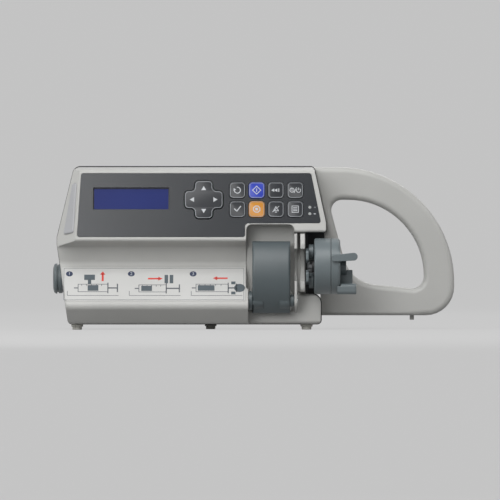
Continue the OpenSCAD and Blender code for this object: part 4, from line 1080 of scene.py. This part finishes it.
# Studio: a sweep of pale grey paper, one soft lamp above and in front, a second at the front
# left whose reflection gives the panel its sheen, and larger, farther ones behind and beside.
sweep_size = 400
sweep_back = 12
sweep_height = 12
sweep_bend = 4
bpy.ops.object.select_all(action="DESELECT")
bpy.ops.mesh.primitive_plane_add(size=sweep_size, location=(0, 0, 0))
sweep = bpy.context.active_object
sweep.name = "paper_sweep"
bpy.ops.object.mode_set(mode="EDIT")
bpy.ops.mesh.select_all(action="SELECT")
bpy.ops.transform.translate(value=(0, sweep_back - sweep_size / 2, 0))
bpy.ops.mesh.select_all(action="DESELECT")
paper = bmesh.from_edit_mesh(sweep.data)
for edge in paper.edges:
    edge.select_set(all(v.co.y > sweep_back - 0.01 for v in edge.verts))
bpy.ops.mesh.extrude_region_move(TRANSFORM_OT_translate={"value": (0, 0, sweep_height)})
bpy.ops.mesh.select_all(action="SELECT")
bpy.ops.mesh.normals_make_consistent(inside=False)
bpy.ops.mesh.select_all(action="DESELECT")
paper = bmesh.from_edit_mesh(sweep.data)
for edge in paper.edges:
    edge.select_set(all(abs(v.co.y - sweep_back) < 0.01 and v.co.z < 0.01 for v in edge.verts))
bpy.ops.mesh.bevel(offset=sweep_bend, segments=24, affect="EDGES")
bpy.ops.object.mode_set(mode="OBJECT")
bpy.ops.object.shade_smooth()
backdrop_tone = "#E2E2E2"
glow_share = 0.7
# Uncoated paper has no sheen. The camera, reflections and clear pieces see most of it as an even
# tone, and the rest keeps the object's shadow.
paper_finish = moulded("pale_grey_paper", ("#767676", "#787878"),
    roughness=0.9, grain=3, relief=0.02, cloud=900)
glow = add_node(paper_finish, "Emission", values={"Color": linear(backdrop_tone)})
rays = add_node(paper_finish, "LightPath")
seen = add_node(paper_finish, "Math", settings={"operation": "MAXIMUM"},
    links={0: rays.outputs["Is Camera Ray"], 1: rays.outputs["Is Glossy Ray"]})
seen_through = add_node(paper_finish, "Math", settings={"operation": "MAXIMUM"},
    links={0: seen.outputs["Value"], 1: rays.outputs["Is Transmission Ray"]})
part_seen = add_node(paper_finish, "Math", settings={"operation": "MULTIPLY"},
    values={1: glow_share}, links={0: seen_through.outputs["Value"]})
even = add_node(paper_finish, "MixShader", links={
    "Fac": part_seen.outputs["Value"],
    1: paper_finish.node_tree.nodes["Principled BSDF"].outputs["BSDF"],
    2: glow.outputs["Emission"]})
paper_finish.node_tree.links.new(even.outputs["Shader"],
    paper_finish.node_tree.nodes["Material Output"].inputs["Surface"])
sweep.data.materials.append(paper_finish)
fill_strength = 0.33
studio = bpy.data.worlds.new("studio_fill")
studio.use_nodes = True
studio.node_tree.nodes["Background"].inputs["Color"].default_value = (1, 1, 1, 1)
studio.node_tree.nodes["Background"].inputs["Strength"].default_value = fill_strength
bpy.context.scene.world = studio
lamp_aim = Vector((0, 0, 0.07))
softboxes = (
    ("overhead_softbox", (-0.1, -0.82, 1.15), 0.8, 9),
    ("front_softbox", (-0.52, -1.3, 0.62), 0.8, 9),
    ("rear_softbox", (0.6, 1.6, 1.4), 1.4, 11),
    ("left_softbox", (-1.7, -0.1, 0.9), 1.0, 6),
    ("right_softbox", (1.7, -0.1, 0.9), 1.0, 5),
)
for name, place, size, power in softboxes:
    bpy.ops.object.light_add(type="AREA", location=place)
    lamp = bpy.context.active_object
    lamp.name = name
    lamp.data.size = size
    lamp.data.energy = power
    lamp.visible_camera = False
    lamp.rotation_euler = (lamp_aim - Vector(place)).to_track_quat("-Z", "Y").to_euler()


bpy.context.scene.view_settings.view_transform = "Standard"
